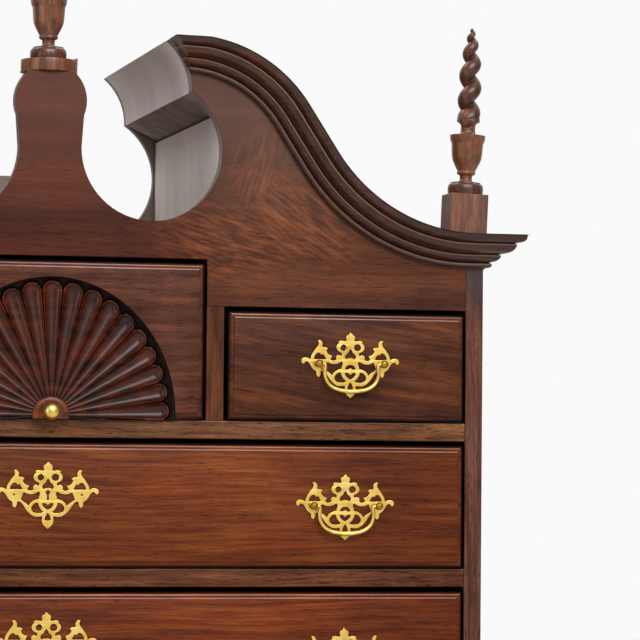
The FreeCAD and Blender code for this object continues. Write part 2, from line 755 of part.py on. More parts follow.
# -------------------------------------------------------------------------------- drawers
def drawer_front(x, low, wide, tall, front):
    """The moulded front: a slab whose thumbnail edge stands proud of the case."""
    lip = value("lip")
    face = front - value("front_proud")
    right = x + wide / 2 - value("side_gap")
    left = x - wide / 2 + value("side_gap")
    base = low + value("glide_gap")
    top = low + tall - value("top_gap")
    rings = []
    for depth, inset in ((0, lip), (0.3 * lip, 0.3 * lip), (lip, 0), (value("front_thick"), 0)):
        corners = [vector(left + inset, face + depth, base + inset), vector(right - inset, face + depth, base + inset),
                   vector(right - inset, face + depth, top - inset), vector(left + inset, face + depth, top - inset)]
        rings.append(corners)
    return ruled_solid(rings)


def carve_fan(slab, x, foot, front, reach, rise):
    """Cuts the fan into a front and adds the half-round boss that carries the knob."""
    face = front - value("front_proud")
    for waste in fan_waste(reach, rise):
        waste.translate(vector(x, face, foot))
        slab = slab.cut(waste)
    radius = value("boss_radius")
    high = value("boss_high")
    boss = Part.makeCylinder(radius, 2 * high, vector(x, face + high, foot), vector(0, -1, 0))
    base = foot - value("fan_foot - glide_gap")
    below = Part.makeBox(4 * radius, 8 * high, 2 * radius,
                         vector(x - 2 * radius, face - 4 * high, base - 2 * radius))
    return slab.fuse(boss.cut(below)).removeSplitter()


def drawer(name, x, low, wide, tall, front, fan=None):
    """A drawer: its front, two sides, back and bottom. The sizes are expressions."""
    x_value = value(x)
    slab = drawer_front(x_value, value(low), value(wide), value(tall), value(front))
    if fan:
        slab = carve_fan(slab, x_value, value(low + " + fan_foot"), value(front), value(fan[0]), value(fan[1]))
    edge = "(%s) / 2 - side_gap - box_inset" % wide
    left = "%s - (%s)" % (x, edge)
    right = "%s + (%s)" % (x, edge)
    start = "%s - front_proud + front_thick" % front
    end = "inside_back - drawer_stop"
    base = "%s + glide_gap" % low
    rim = "%s + %s - top_gap - side_drop" % (low, tall)
    upright = (base + " + drawer_bottom", rim)
    node(name, [
        feature(name + "_front", slab),
        block(name + "_bottom", (left, right), (start, end), (base, base + " + drawer_bottom")),
        block(name + "_left_side", (left, left + " + drawer_side"), (start, end), upright),
        block(name + "_right_side", (right + " - drawer_side", right), (start, end), upright),
        block(name + "_back", (left + " + drawer_side", right + " - drawer_side"),
              (end + " - drawer_side", end), upright),
    ])


def brasses(name, front, middles, keyhole=None):
    """A drawer's plates and posts in one node, and each bail in a node of its own."""
    face = value(front) - value("front_proud")
    pieces = []
    for side, (x, z) in middles.items():
        pieces += pull(name + side, x, face, z)
        seat = face - value("plate_thick + post_out")
        node(name + side + "_bail", [feature(name + side + "_bow", BAIL.copy(), vector(x, seat, z))])
    if keyhole:
        pieces.append(keyhole_plate(name, keyhole[0], face, keyhole[1]))
    node(name + "_brasses", pieces)


def mid_height(low, tall):
    return value("%s + glide_gap / 2 + (%s - top_gap) / 2" % (low, tall))


for name, (low, tall) in LONG_DRAWERS.items():
    drawer(name, "0", low, "2 * inner", tall, "up_front")
    height = mid_height(low, tall) + value("pull_rise")
    middles = {"_right": (value("pull_x"), height), "_left": (-value("pull_x"), height)}
    brasses(name, "up_front", middles, (0, height))

for side, sign in (("right", ""), ("left", "-")):
    name = "small_drawer_" + side
    drawer(name, sign + "small_x", "row_z", "small_wide", "small_high", "up_front")
    height = mid_height("row_z", "small_high") + value("small_pull_rise")
    brasses(name, "up_front", {"": (value(sign + "(small_x + small_pull_out)"), height)})
    name = "low_drawer_" + side
    x = sign + "low_side_x"
    drawer(name, x, "low_row_z", "low_side_wide", "low_row", "low_front")
    height = mid_height("low_row_z", "low_row") + value("pull_rise")
    brasses(name, "low_front", {"": (value(x), height)})

drawer("low_long_drawer", "0", "low_long_z", "2 * post_in", "low_long", "low_front")
height = mid_height("low_long_z", "low_long") + value("pull_rise")
middles = {"_right": (value("pull_x"), height), "_left": (-value("pull_x"), height)}
brasses("low_long_drawer", "low_front", middles, (0, height))

FANS = {
    "fan_drawer": ("row_z", "fan_wide", "fan_high", "up_front", "fan_reach", "fan_rise"),
    "low_fan_drawer": ("low_row_z", "low_centre", "low_row", "low_front", "low_fan_reach", "low_fan_rise"),
}
for name, (low, wide, tall, front, reach, rise) in FANS.items():
    drawer(name, "0", low, wide, tall, front, (reach, rise))
    seat = vector(0, value(front + " - front_proud - boss_high"), value(low + " + fan_foot + knob_lift"))
    node(name + "_knob", [feature(name + "_ball", KNOB.copy(), seat)])


# -------------------------------------------------------------------------------- lower case
LOW_BETWEEN = ("-post_in", "post_in")
LOW_BLADE = ("low_front", "low_front + blade_deep")
RAIL_LEVEL = ("waist_height - blade", "waist_height")
LOW_LONG_LEVEL = ("low_long_z - blade", "low_long_z")
LOW_ROW_LEVEL = ("low_row_z - blade", "low_row_z")
LOW_PARTITION = ("low_centre / 2", "low_centre / 2 + board")
LOW_INSIDE = ("low_front", "back - low_back")
low_frame = both_sides("low_partition", LOW_PARTITION, LOW_INSIDE, ("low_row_z", "low_long_z - blade"))
low_frame.append(block("low_top_rail", LOW_BETWEEN, LOW_BLADE, RAIL_LEVEL))
low_frame.append(block("low_blade", LOW_BETWEEN, LOW_BLADE, LOW_LONG_LEVEL))
node("low_frame", low_frame)
node("low_back", [block("low_back_board", LOW_BETWEEN, ("back - low_back", "back"),
                        ("apron_z + low_back_rise", "waist_height"))])


def low_side():
    """The right-hand end board between its posts, with a long flat arch along its lower edge."""
    front = value("low_front + post")
    rear = value("back - post")
    low = value("apron_z")
    high = value("waist_height")
    block_end = value("knee_block")
    rise = 0.55 * value("arch_rise")
    curve = vector(0, front + block_end, low)
    arch = vector(0, front + 1.6 * block_end, low + rise)
    arch_end = vector(0, rear - 1.6 * block_end, low + rise)
    curve_end = vector(0, rear - block_end, low)
    edges = [
        Part.LineSegment(vector(0, front, low), curve),
        Part.Arc(curve, (curve + arch) / 2 + vector(0, -0.12 * rise, 0.12 * rise), arch),
        Part.LineSegment(arch, arch_end),
        Part.Arc(arch_end, (curve_end + arch_end) / 2 + vector(0, 0.12 * rise, 0.12 * rise), curve_end),
        Part.LineSegment(curve_end, vector(0, rear, low)),
        Part.LineSegment(vector(0, rear, low), vector(0, rear, high)),
        Part.LineSegment(vector(0, rear, high), vector(0, front, high)),
        Part.LineSegment(vector(0, front, high), vector(0, front, low)),
    ]
    outline = Part.Wire([edge.toShape() for edge in edges])
    board = Part.Face(outline).extrude(vector(-value("board"), 0, 0))
    board.translate(vector(value("low_half"), 0, 0))
    return board


node("low_sides", pair("low_side", low_side()))

node("apron", [outline_body("apron_board", [
    ("0", "low_row_z"),
    ("post_in", "low_row_z"),
    ("post_in", "apron_z"),
    ("post_in - knee_block", "apron_z"),
    ("post_in - knee_block - arch_rise", "apron_z + arch_rise", "arch_rise * 1.02", -1),
    ("drop_x + pad_half + arch_rise", "apron_z + arch_rise"),
    ("drop_x + pad_half", "apron_z + pad_rise", "arch_rise * 1.1", -1),
    ("drop_x - pad_half", "apron_z + pad_rise"),
    ("drop_x - pad_half", "apron_z + pad_rise + pad_step"),
    ("0", "apron_z + centre_rise", "centre_radius", -1),
], "board", "low_front")])

low_runners = []
for label, level, start in (("low_long", LOW_LONG_LEVEL, "low_front + blade_deep"),
                            ("low_row", LOW_ROW_LEVEL, "low_front + board")):
    deep = (start, "back - low_back")
    low_runners += both_sides(label + "_runner", ("post_in - runner_wide", "post_in"), deep, level)
    packing = ("post_in", "low_half - board")
    low_runners += both_sides(label + "_packing", packing, ("low_front + post", "back - post"), level)
LOW_INNER = ("low_centre / 2 - runner_wide / 2", "low_centre / 2 + board + runner_wide / 2")
low_runners += both_sides("low_inner_runner", LOW_INNER, ("low_front + board", "back - low_back"), LOW_ROW_LEVEL)
node("low_runners", low_runners)


def leg_section(height, out_by, half_wide, corner):
    """An eight-sided section round the post's middle, moved outwards along both axes."""
    flat = half_wide * (1 - corner)
    points = []
    for x, y in ((1, 0), (0, 1), (-1, 0), (0, -1)):
        side = vector(-y, x, 0) * flat
        face = vector(x, y, 0) * half_wide
        points += [face - side, face + side]
    middle = vector(out_by, -out_by, height)
    return [middle + point for point in points]


def cabriole_leg():
    """The right front leg and the corner post above it in one piece, on the post's own axis."""
    top = value("apron_z")
    knee = value("knee_out")
    wide = value("knee_half")
    ankle = value("ankle_half")
    foot = value("foot_half")
    out_by = value("foot_out")
    pad = value("foot_high")
    post_half = value("post") / 2
    sections = [
        (0, out_by, 0.88 * foot, 0.586), (0.4 * pad, out_by, foot, 0.586), (pad, 0.95 * out_by, 0.85 * foot, 0.586),
        (1.5 * pad, 0.6 * out_by, 1.25 * ankle, 0.55), (0.2 * top, 0, ankle, 0.5),
        (0.42 * top, -0.2 * knee, 1.2 * ankle, 0.45), (0.7 * top, 0.4 * knee, 0.8 * wide, 0.4),
        (0.88 * top, knee, wide, 0.3), (top, 0, post_half, 0.08),
    ]
    leg = ruled_solid([leg_section(*section) for section in sections])
    square = Part.makeBox(2 * post_half, 2 * post_half, value("waist_height") - top,
                          vector(-post_half, -post_half, top))
    return leg.fuse(square)


front_leg = cabriole_leg()
rear_leg = front_leg.mirror(vector(0, 0, 0), vector(0, 1, 0))
front_leg.translate(vector(value("low_half - post / 2"), value("low_front + post / 2"), 0))
rear_leg.translate(vector(value("low_half - post / 2"), value("back - post / 2"), 0))
node("front_legs", pair("front_leg", front_leg))
node("rear_legs", pair("rear_leg", rear_leg))


def knee_bracket(corner, along, inwards):
    """A curved bracket glued under the apron or an end board, beside the knee."""
    size = value("knee_block")
    thick = value("board")
    shares = [(1, 0), (0.62, -0.12), (0.26, -0.4), (0.06, -1), (0, -1)]
    curve = [corner + along * (size * x) + vector(0, 0, size * z) for x, z in shares]
    return prism([corner] + curve, inwards * thick)


post_in = value("post_in")
apron_z = value("apron_z")
side_x = value("low_half")
brackets = pair("front_bracket", knee_bracket(vector(post_in, value("low_front"), apron_z),
                                              vector(-1, 0, 0), vector(0, 1, 0)))
brackets += pair("front_side_bracket", knee_bracket(vector(side_x, value("low_front + post"), apron_z),
                                                    vector(0, 1, 0), vector(-1, 0, 0)))
brackets += pair("rear_side_bracket", knee_bracket(vector(side_x, value("back - post"), apron_z),
                                                   vector(0, -1, 0), vector(-1, 0, 0)))
node("knee_blocks", brackets)


def drop():
    """A turned pendant, hung point down from Z = 0."""
    wide = value("drop_radius")
    long = value("drop_long")
    rings = [(0.15, -1), (0.75, -0.7), (0.95, -0.5), (0.4, -0.33), (1, -0.2), (1, -0.12), (0.5, -0.06), (0.8, 0)]
    return turned([(wide * x, long * z) for x, z in rings])


hang = vector(value("drop_x"), value("low_front + board / 2"), value("apron_z + pad_rise"))
drops = []
for label, x in (("drop_right", hang.x), ("drop_left", -hang.x)):
    drops.append(feature(label, drop(), vector(x, hang.y, hang.z)))
node("apron_drops", drops)


# -------------------------------------------------------------------------------- waist moulding
def waist_profile():
    """(distance out, height) of the moulding that holds the upper case's foot."""
    wide = value("waist_step + waist_over")
    tall = value("waist_high")
    shares = [(0, 0), (1, 0), (1, 0.25), (0.88, 0.36), (0.6, 0.42), (0.34, 0.58), (0.2, 0.82), (0.16, 1),
              (0, 1)]
    return [(wide * x, tall * z) for x, z in shares]


def waist_side():
    """The right-hand run, mitred at the front."""
    low = value("waist_height")
    reach = 3 * value("waist_step")
    section = [vector(half + x, up_front - reach, low + z) for x, z in waist_profile()]
    run = prism(section, vector(0, back - up_front + reach, 0))
    corner = vector(half, up_front, low - reach)
    points = [corner, corner + vector(2 * reach, -2 * reach, 0), corner + vector(-reach, -2 * reach, 0)]
    return run.cut(prism(points, vector(0, 0, 3 * reach)))


def waist_front():
    """The front run, mitred at both ends."""
    low = value("waist_height")
    reach = 3 * value("waist_step")
    section = [vector(-half - reach, up_front - x, low + z) for x, z in waist_profile()]
    run = prism(section, vector(2 * half + 2 * reach, 0, 0))
    for sign in (1, -1):
        corner = vector(sign * half, up_front, low - reach)
        points = [corner, corner + vector(sign * 2 * reach, -2 * reach, 0), corner + vector(sign * 2 * reach, 0, 0)]
        run = run.cut(prism(points, vector(0, 0, 3 * reach)))
    return run


node("waist_moulding", [feature("waist_front", waist_front())] + pair("waist_side", waist_side()))


# -------------------------------------------------------------------------------- checks and files
doc.recompute()
for piece in doc.Objects:
    if "Invalid" in piece.State or "Error" in piece.State:
        raise RuntimeError("%s failed: %s" % (piece.Label, piece.State))
for group in NODES:
    for piece in group.Links:
        if piece.Shape.isNull() or not piece.Shape.isValid() or piece.Shape.Volume <= 0:
            raise RuntimeError("%s has a bad shape" % piece.Label)
os.makedirs("parts", exist_ok=True)
for group in NODES:
    group.Shape.exportStep(os.path.join("parts", group.Label + ".step"))
print("%d nodes, %d solids" % (len(NODES), sum(len(group.Shape.Solids) for group in NODES)))
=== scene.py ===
import bmesh
import bpy
import math
from mathutils import Matrix, Vector


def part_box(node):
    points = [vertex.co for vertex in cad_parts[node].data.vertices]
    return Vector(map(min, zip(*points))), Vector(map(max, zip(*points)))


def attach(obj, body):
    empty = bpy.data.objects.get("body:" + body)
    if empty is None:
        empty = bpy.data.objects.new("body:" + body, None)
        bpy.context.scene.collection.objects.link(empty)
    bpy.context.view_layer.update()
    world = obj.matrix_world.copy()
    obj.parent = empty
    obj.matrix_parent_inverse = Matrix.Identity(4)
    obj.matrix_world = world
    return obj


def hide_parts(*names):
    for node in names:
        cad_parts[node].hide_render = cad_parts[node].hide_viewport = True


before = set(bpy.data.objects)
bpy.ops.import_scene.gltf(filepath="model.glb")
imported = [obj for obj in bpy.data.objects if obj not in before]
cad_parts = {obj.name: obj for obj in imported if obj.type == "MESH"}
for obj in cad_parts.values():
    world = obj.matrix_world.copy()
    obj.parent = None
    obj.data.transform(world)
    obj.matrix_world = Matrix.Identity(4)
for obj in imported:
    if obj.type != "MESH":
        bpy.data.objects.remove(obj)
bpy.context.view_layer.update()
scene = bpy.context.scene


# ------------------------------------------------------------------ camera and studio
# A long lens a little left of the middle, level with the top row of drawers. A pale grey floor, an even
# white behind, a large soft lamp high in front, weak ones at the left and behind the camera, and one
# high behind the object.
def shade(hex_colour):
    """A linear colour with alpha, from an sRGB hex value such as "#773f25"."""
    parts = [int(hex_colour[i:i + 2], 16) / 255 for i in (1, 3, 5)]
    linear = [p / 12.92 if p <= 0.04045 else ((p + 0.055) / 1.055) ** 2.4 for p in parts]
    return (*linear, 1.0)


def add_node(tree, kind, settings=None, stops=None, **inputs):
    """Adds a shader node. settings are its own properties, stops a colour ramp's (position, colour)
    pairs. inputs are values or other nodes' outputs; n3 is the fourth socket, and _ in a name a space."""
    node = tree.nodes.new(kind)
    for name, setting in (settings or {}).items():
        setattr(node, name, setting)
    for name, given in inputs.items():
        socket = node.inputs[int(name[1:]) if name[1:].isdigit() else name.replace("_", " ")]
        if isinstance(given, bpy.types.NodeSocket):
            tree.links.new(given, socket)
        else:
            socket.default_value = given
    if stops:
        band = node.color_ramp
        while len(band.elements) < len(stops):
            band.elements.new(0.5)
        for element, (position, colour) in zip(band.elements, stops):
            element.position = position
            element.color = shade(colour)
    return node


yaw, pitch, roll = (math.radians(angle) for angle in (13.642, 2.296, 0.517))
ahead = Vector((math.sin(yaw) * math.cos(pitch), math.cos(yaw) * math.cos(pitch), math.sin(pitch)))
level = Vector((math.cos(yaw), -math.sin(yaw), 0))
upright = level.cross(ahead)
rightward = math.cos(roll) * level + math.sin(roll) * upright
upward = -math.sin(roll) * level + math.cos(roll) * upright
camera = bpy.data.objects.new("camera", bpy.data.cameras.new("camera"))
camera.data.sensor_width = 36
camera.data.lens = 190.2
camera.data.clip_end = 50
facing = Matrix((rightward, upward, -ahead)).transposed().to_4x4()
camera.matrix_world = Matrix.Translation((-0.597, -3.942, 1.631)) @ facing
scene.collection.objects.link(camera)
scene.camera = camera
scene.view_settings.view_transform = "Standard"

for name, place, target, size, watts in (
        ("key_lamp", (0.4, -3.3, 4.0), (0.1, 0, 1.7), (3.0, 2.0), 120),
        ("fill_lamp", (-3.4, -1.6, 1.9), (0, 0, 1.7), (1.6, 2.6), 22),
        ("front_card", (1.2, -5.5, 1.8), (0.2, 0, 1.6), (4.0, 4.0), 26),
        ("rim_lamp", (0.0, 1.2, 4.6), (0.0, 2.6, 1.2), (5.0, 1.0), 92)):
    light = bpy.data.objects.new(name, bpy.data.lights.new(name, "AREA"))
    light.data.shape = "RECTANGLE"
    light.data.size, light.data.size_y = size
    light.data.energy = watts
    light.location = place
    light.rotation_euler = (Vector(target) - Vector(place)).to_track_quat("-Z", "Y").to_euler()
    scene.collection.objects.link(light)
world = bpy.data.worlds.new("studio")
world.use_nodes = True
# bright above and darker towards the horizon, so that rounds facing up catch the light; even white
# behind the object
sky = world.node_tree
aim = add_node(sky, "ShaderNodeTexCoord").outputs["Generated"]
aim = add_node(sky, "ShaderNodeSeparateXYZ", Vector=aim).outputs
glow = add_node(sky, "ShaderNodeMapRange", Value=aim["Z"], From_Min=-0.1, From_Max=0.7, To_Min=0.2,
                To_Max=0.8).outputs["Result"]
behind = add_node(sky, "ShaderNodeMapRange", Value=aim["Y"], From_Min=0.3, From_Max=0.85).outputs["Result"]
strength = add_node(sky, "ShaderNodeMix", {"data_type": "FLOAT"}, n0=behind, n2=glow, n3=0.955).outputs[0]
sky.links.new(strength, sky.nodes["Background"].inputs["Strength"])
sky.nodes["Background"].inputs["Color"].default_value = (1, 1, 1, 1)
scene.world = world

paper = bpy.data.materials.new("matt_floor_paper")
paper.use_nodes = True
matt = paper.node_tree.nodes["Principled BSDF"].inputs
matt["Base Color"].default_value, matt["Roughness"].default_value = shade("#d2d0ce"), 0.95
surface = bmesh.new()
bmesh.ops.create_grid(surface, x_segments=1, y_segments=1, size=25)
mesh = bpy.data.meshes.new("floor")
surface.to_mesh(mesh)
surface.free()
mesh.materials.append(paper)
floor = bpy.data.objects.new("floor", mesh)
scene.collection.objects.link(floor)


# ------------------------------------------------------------------ legs
# Four cabriole legs, each sawn and spokeshaved from one walnut post that runs up to the waist
# moulding: a square post, a rounded knee, a slim ankle and a turned pad foot.
def stain(material, over, share=1.0, blend="MULTIPLY"):
    """Lays a colour, or a node's colour, over the material's own."""
    base = material.node_tree.nodes["Principled BSDF"].inputs["Base Color"]
    mixed = add_node(material.node_tree, "ShaderNodeMix", {"data_type": "RGBA", "blend_type": blend},
                     n0=share, n6=base.links[0].from_socket, n7=over).outputs[2]
    material.node_tree.links.new(mixed, base)


def stain_along(material, value, stops, share=1.0):
    """Stains the material with a band of colours that runs along a value from 0 to 1."""
    band = add_node(material.node_tree, "ShaderNodeValToRGB", Fac=value, stops=stops)
    stain(material, band.outputs["Color"], share)


def walnut(name, along, dark, middle, light, roughness=0.42, band=0.009, tilt=0.0, figure=0.1, gloss=0.12,
           coat=0.0, pores=0.6, patches=0.35, clouds_wide=0.06, shade_and_dirt=1.0, fibre=0.6, shade_and_dirt_colour="#44342d",
           shade_and_dirt_reach=0.75):
    """Walnut under old shellac, with its grain along "X", "Y" or "Z": brown heartwood in growth bands, slow
    waves of figure, long fibres and open dark pores, rubbed to a satin. band is a growth band's width in
    metres, tilt the grain's slope, and figure, patches, fibre, pores and the share of painted corner shade
    (with some old grime) say how strongly the waves, the darker clouds and the rest show. Bare pine and
    poplar have the same build and their own colours."""
    timber = bpy.data.materials.new(name)
    timber.use_nodes = True
    tree = timber.node_tree
    shader = tree.nodes["Principled BSDF"].inputs
    place = add_node(tree, "ShaderNodeTexCoord").outputs["Object"]
    if tilt:
        place = add_node(tree, "ShaderNodeMapping", Vector=place, Rotation=(0, tilt, 0)).outputs["Vector"]

    def cells(place, wide, long, start=(0, 0, 0), **settings):
        """A cloudy pattern in cells this wide across the grain and this long along it, in metres."""
        size = [1 / wide] * 3
        size["XYZ".index(along)] = 1 / long
        cell = add_node(tree, "ShaderNodeMapping", Vector=place, Location=start, Scale=size).outputs["Vector"]
        return add_node(tree, "ShaderNodeTexNoise", Vector=cell, Scale=1.0, **settings).outputs["Fac"]

    bend = add_node(tree, "ShaderNodeTexNoise", Vector=place, Scale=3.0, Detail=1.0).outputs["Color"]
    bend = add_node(tree, "ShaderNodeVectorMath", {"operation": "SCALE"}, n0=bend,
                    Scale=0.03).outputs["Vector"]
    wavy = add_node(tree, "ShaderNodeVectorMath", {"operation": "ADD"}, n0=place, n1=bend).outputs["Vector"]
    rings = cells(wavy, band, 24 * band, Detail=3.0, Roughness=0.55)
    waves = cells(wavy, 0.05, 0.03, Detail=2.0, Distortion=0.8)
    tone = add_node(tree, "ShaderNodeMix", {"data_type": "FLOAT"}, n0=figure, n2=rings, n3=waves).outputs[0]
    heartwood = add_node(tree, "ShaderNodeValToRGB", Fac=tone,
                         stops=[(0.34, dark), (0.5, middle), (0.66, light)]).outputs["Color"]
    tree.links.new(heartwood, shader["Base Color"])
    # darker, greyer clouds three times as long as they are wide
    clouds = cells(wavy, clouds_wide, 3 * clouds_wide, Detail=2.0, Roughness=0.5)
    stain_along(timber, clouds, [(0.36, "#a2958f"), (0.56, "#ffffff")], patches)
    # streaks of purple and of orange-brown heartwood, half as wide as the clouds
    hues = cells(wavy, 0.5 * clouds_wide, 2.5 * clouds_wide, (3.1, 5.7, 2.3), Detail=3.0, Roughness=0.6)
    stain_along(timber, hues, [(0.38, "#d9cdd2"), (0.5, "#f2ebe6"), (0.62, "#fff1dd")], 2 * patches)
    # painted shade, with some old polish and grime, darkens the quirks and inner corners, out to some 5 mm
    corners = add_node(tree, "ShaderNodeAmbientOcclusion", {"samples": 4}, Distance=0.008).outputs["AO"]
    stain_along(timber, corners, [(0.15, shade_and_dirt_colour), (shade_and_dirt_reach, "#ffffff")], shade_and_dirt)
    # fibres 1.6 mm wide and 70 mm long: real ones are finer, and would not show
    fibres = cells(wavy, 0.0016, 0.07, Detail=2.0, Roughness=0.6)
    stain_along(timber, fibres, [(0.3, "#a89a93"), (0.5, "#dcd6d2"), (0.72, "#ffffff")], fibre)
    # open pores, drawn 0.9 mm wide and 12 mm long where real ones are 0.2 mm wide
    holes = cells(place, 0.0009, 0.012, Detail=1.0, Roughness=0.4)
    stain_along(timber, holes, [(0.30, "#66504a"), (0.39, "#ffffff")], pores)
    rubbed = add_node(tree, "ShaderNodeMapRange", Value=clouds, From_Min=0.3, From_Max=0.7,
                      To_Min=roughness + 0.06, To_Max=roughness - 0.05).outputs["Result"]
    tree.links.new(rubbed, shader["Roughness"])
    grain = add_node(tree, "ShaderNodeBump", Height=fibres, Strength=0.3, Distance=0.0003).outputs["Normal"]
    tree.links.new(grain, shader["Normal"])
    shader["IOR"].default_value = 1.5
    shader["Specular IOR Level"].default_value = gloss
    shader["Coat Weight"].default_value, shader["Coat Roughness"].default_value = coat, 0.2
    return timber


def place_on(material):
    """The X, Y and Z of the piece's own coordinates, in metres, as sockets."""
    place = add_node(material.node_tree, "ShaderNodeTexCoord").outputs["Object"]
    return add_node(material.node_tree, "ShaderNodeSeparateXYZ", Vector=place).outputs


def finish_piece(bm, name, material, nodes=(), body="case", sharp=35):
    """Makes the mesh an object, smooth but for edges sharper than the angle, and fixes it to its body."""
    mesh = bpy.data.meshes.new(name)
    bm.to_mesh(mesh)
    bm.free()
    mesh.shade_smooth()
    mesh.set_sharp_from_angle(angle=math.radians(sharp))
    mesh.materials.append(material)
    piece = bpy.data.objects.new(name, mesh)
    scene.collection.objects.link(piece)
    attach(piece, body)
    if nodes:
        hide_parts(*nodes)
    return piece


def smooth_line(points, steps=4):
    """A soft curve through the points; a point given twice is a corner."""
    points = [Vector(point) for point in points]
    line = []
    for index in range(len(points) - 1):
        before, start, end, after = (
            points[min(max(index + step, 0), len(points) - 1)] for step in (-1, 0, 1, 2))
        if start == end:
            continue
        for step in range(steps):
            t = step / steps
            line.append(0.5 * (2 * start + (end - before) * t
                               + (2 * before - 5 * start + 4 * end - after) * t ** 2
                               + (3 * start - before - 3 * end + after) * t ** 3))
    return line + [points[-1]]


def put_copy(bm, piece, place):
    """Adds a copy of a finished bmesh to another, moved, turned or mirrored by a matrix."""
    carrier = bpy.data.meshes.new("carrier")
    piece.to_mesh(carrier)
    carrier.transform(place)
    if place.determinant() < 0:
        carrier.flip_normals()
    bm.from_mesh(carrier)
    bpy.data.meshes.remove(carrier)


def copies(piece, places):
    """One bmesh of the piece's copies, each moved, turned or mirrored by a matrix. Uses the piece up."""
    bm = bmesh.new()
    for place in places:
        put_copy(bm, piece, place)
    piece.free()
    return bm


def only(parts, kind):
    """The vertices, edges or faces among the parts that an operator gives back."""
    return [part for part in parts if isinstance(part, kind)]


# height, how far the section stands out along the diagonal, its half width, and how square it is (mm)
LEG = [(0, 14, 26.4, 2), (2.5, 14, 29, 2), (9, 14, 29.8, 2), (18, 13.9, 29.3, 2), (23, 13.5, 26.4, 2),
       (25.5, 12.8, 20.5, 2), (30, 11, 17.8, 2), (45, 7.4, 15.8, 2), (89, 0, 14, 2.1),
       (186, -2.4, 16.6, 2.3), (260, 0.5, 18.8, 2.5), (311, 4.8, 21.6, 2.8), (360, 10, 25.5, 3),
       (391, 12, 27, 3.2), (415, 10, 26.4, 3.8), (432, 4.5, 24.2, 6), (444, 0, 22.5, 30)]
POST_TOP = (889.9, 0, 22.5, 30)
LEG_X, FRONT_LEG_Y, REAR_LEG_Y = 0.5075, -0.19625, 0.21275
sections = smooth_line(LEG, 3) + [Vector(POST_TOP)]
leg = bmesh.new()
bmesh.ops.create_circle(leg, cap_ends=True, segments=32, radius=1)
top = leg.faces[:]
for number in range(1, len(sections)):
    grown = bmesh.ops.extrude_face_region(leg, geom=top)["geom"]
    bmesh.ops.translate(leg, verts=only(grown, bmesh.types.BMVert), vec=(0, 0, 1))
    if number > 1:
        bmesh.ops.delete(leg, geom=top, context="FACES_ONLY")
    top = only(grown, bmesh.types.BMFace)
# the tube's rings stand one unit apart: each corner goes to its own section's height and outline
for corner in leg.verts:
    height, out_by, half_wide, square = sections[round(corner.co.z)]
    turn = math.atan2(corner.co.y, corner.co.x)
    reach = half_wide / (abs(math.cos(turn)) ** square + abs(math.sin(turn)) ** square) ** (1 / square)
    corner.co = Vector((out_by + reach * math.cos(turn), -out_by + reach * math.sin(turn), height)) / 1000
bmesh.ops.recalc_face_normals(leg, faces=leg.faces)
leg_walnut = walnut("shellacked_walnut_legs", "Z", "#45261a", "#623a2b", "#7a4e3a", band=0.012)
for node, y, turned in (("front_legs", FRONT_LEG_Y, 1), ("rear_legs", REAR_LEG_Y, -1)):
    places = [Matrix.Translation((side * LEG_X, y, 0)) @ Matrix.Diagonal((side, turned, 1, 1))
              for side in (1, -1)]
    finish_piece(copies(leg.copy(), places), node + "_shaped", leg_walnut, [node])
leg.free()


# ------------------------------------------------------------------ lower case
# Two end boards with a long arch, a back board, rails and partitions, all tenoned into the posts.
# The show boards are walnut; the back and the runners are bare pine gone grey-brown.
def rub_down(bm, edges, by=0.0006, clamp=False):
    """Takes the sharpness off the edges, and gives back the narrow faces that this makes."""
    return bmesh.ops.bevel(bm, geom=edges, offset=by, offset_type="OFFSET", segments=1, profile=0.5,
                           affect="EDGES", material=-1, clamp_overlap=clamp)["faces"]


def eased(node, material, ease=0.0006, lighter_tone=None):
    """The node's own boards with their sharp edges rubbed down a little. Where a lighter material is given,
    the rubbed edges that face forwards and up are of it: a painted highlight."""
    bm = bmesh.new()
    bm.from_mesh(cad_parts[node].data)
    bmesh.ops.remove_doubles(bm, verts=bm.verts, dist=0.00001)
    bmesh.ops.dissolve_limit(bm, angle_limit=math.radians(0.5), verts=bm.verts, edges=bm.edges)
    corners = [e for e in bm.edges if len(e.link_faces) == 2 and e.calc_face_angle(0) > math.radians(25)]
    rubbed = rub_down(bm, corners, ease, clamp=True)
    bm.normal_update()
    for side in rubbed:
        if lighter_tone and side.normal.z > 0.3 and side.normal.y < -0.3:
            side.material_index = 1
    piece = finish_piece(bm, node + "_eased", material, [node], sharp=22)
    if lighter_tone:
        piece.data.materials.append(lighter_tone)
    return piece


def by_height(material, start, end, most=1.0):
    """0 up to the start's height on the piece, rising to most at the end's, in metres above the floor."""
    return add_node(material.node_tree, "ShaderNodeMapRange", Value=place_on(material)["Z"], From_Min=start,
                    From_Max=end, To_Max=most).outputs["Result"]


end_walnut = walnut("shellacked_walnut_end_boards", "Z", "#4b2a1e", "#673c2d", "#7d4f3d", band=0.012)
rail_walnut = walnut("shellacked_walnut_rails", "X", "#5c3623", "#795034", "#926945", band=0.004,
                     figure=0.15, pores=0.9)
# the polish on the rails is redder and darker below the first long drawer
stain_along(rail_walnut, by_height(rail_walnut, 1.42, 1.56), [(0.0, "#d29f97"), (1.0, "#ffffff")])
PINE = ("#6b5646", "#86705c", "#9e8a74")
bare_pine = walnut("bare_aged_pine", "X", *PINE, roughness=0.75, band=0.016, pores=0.1)
pine_runners = walnut("bare_aged_pine_runners", "Y", *PINE, roughness=0.75, band=0.016, pores=0.1)
back_pine = walnut("bare_aged_pine_backs", "X", *PINE, roughness=0.75, band=0.011, figure=0.0,
                   patches=0.12, pores=0.1)
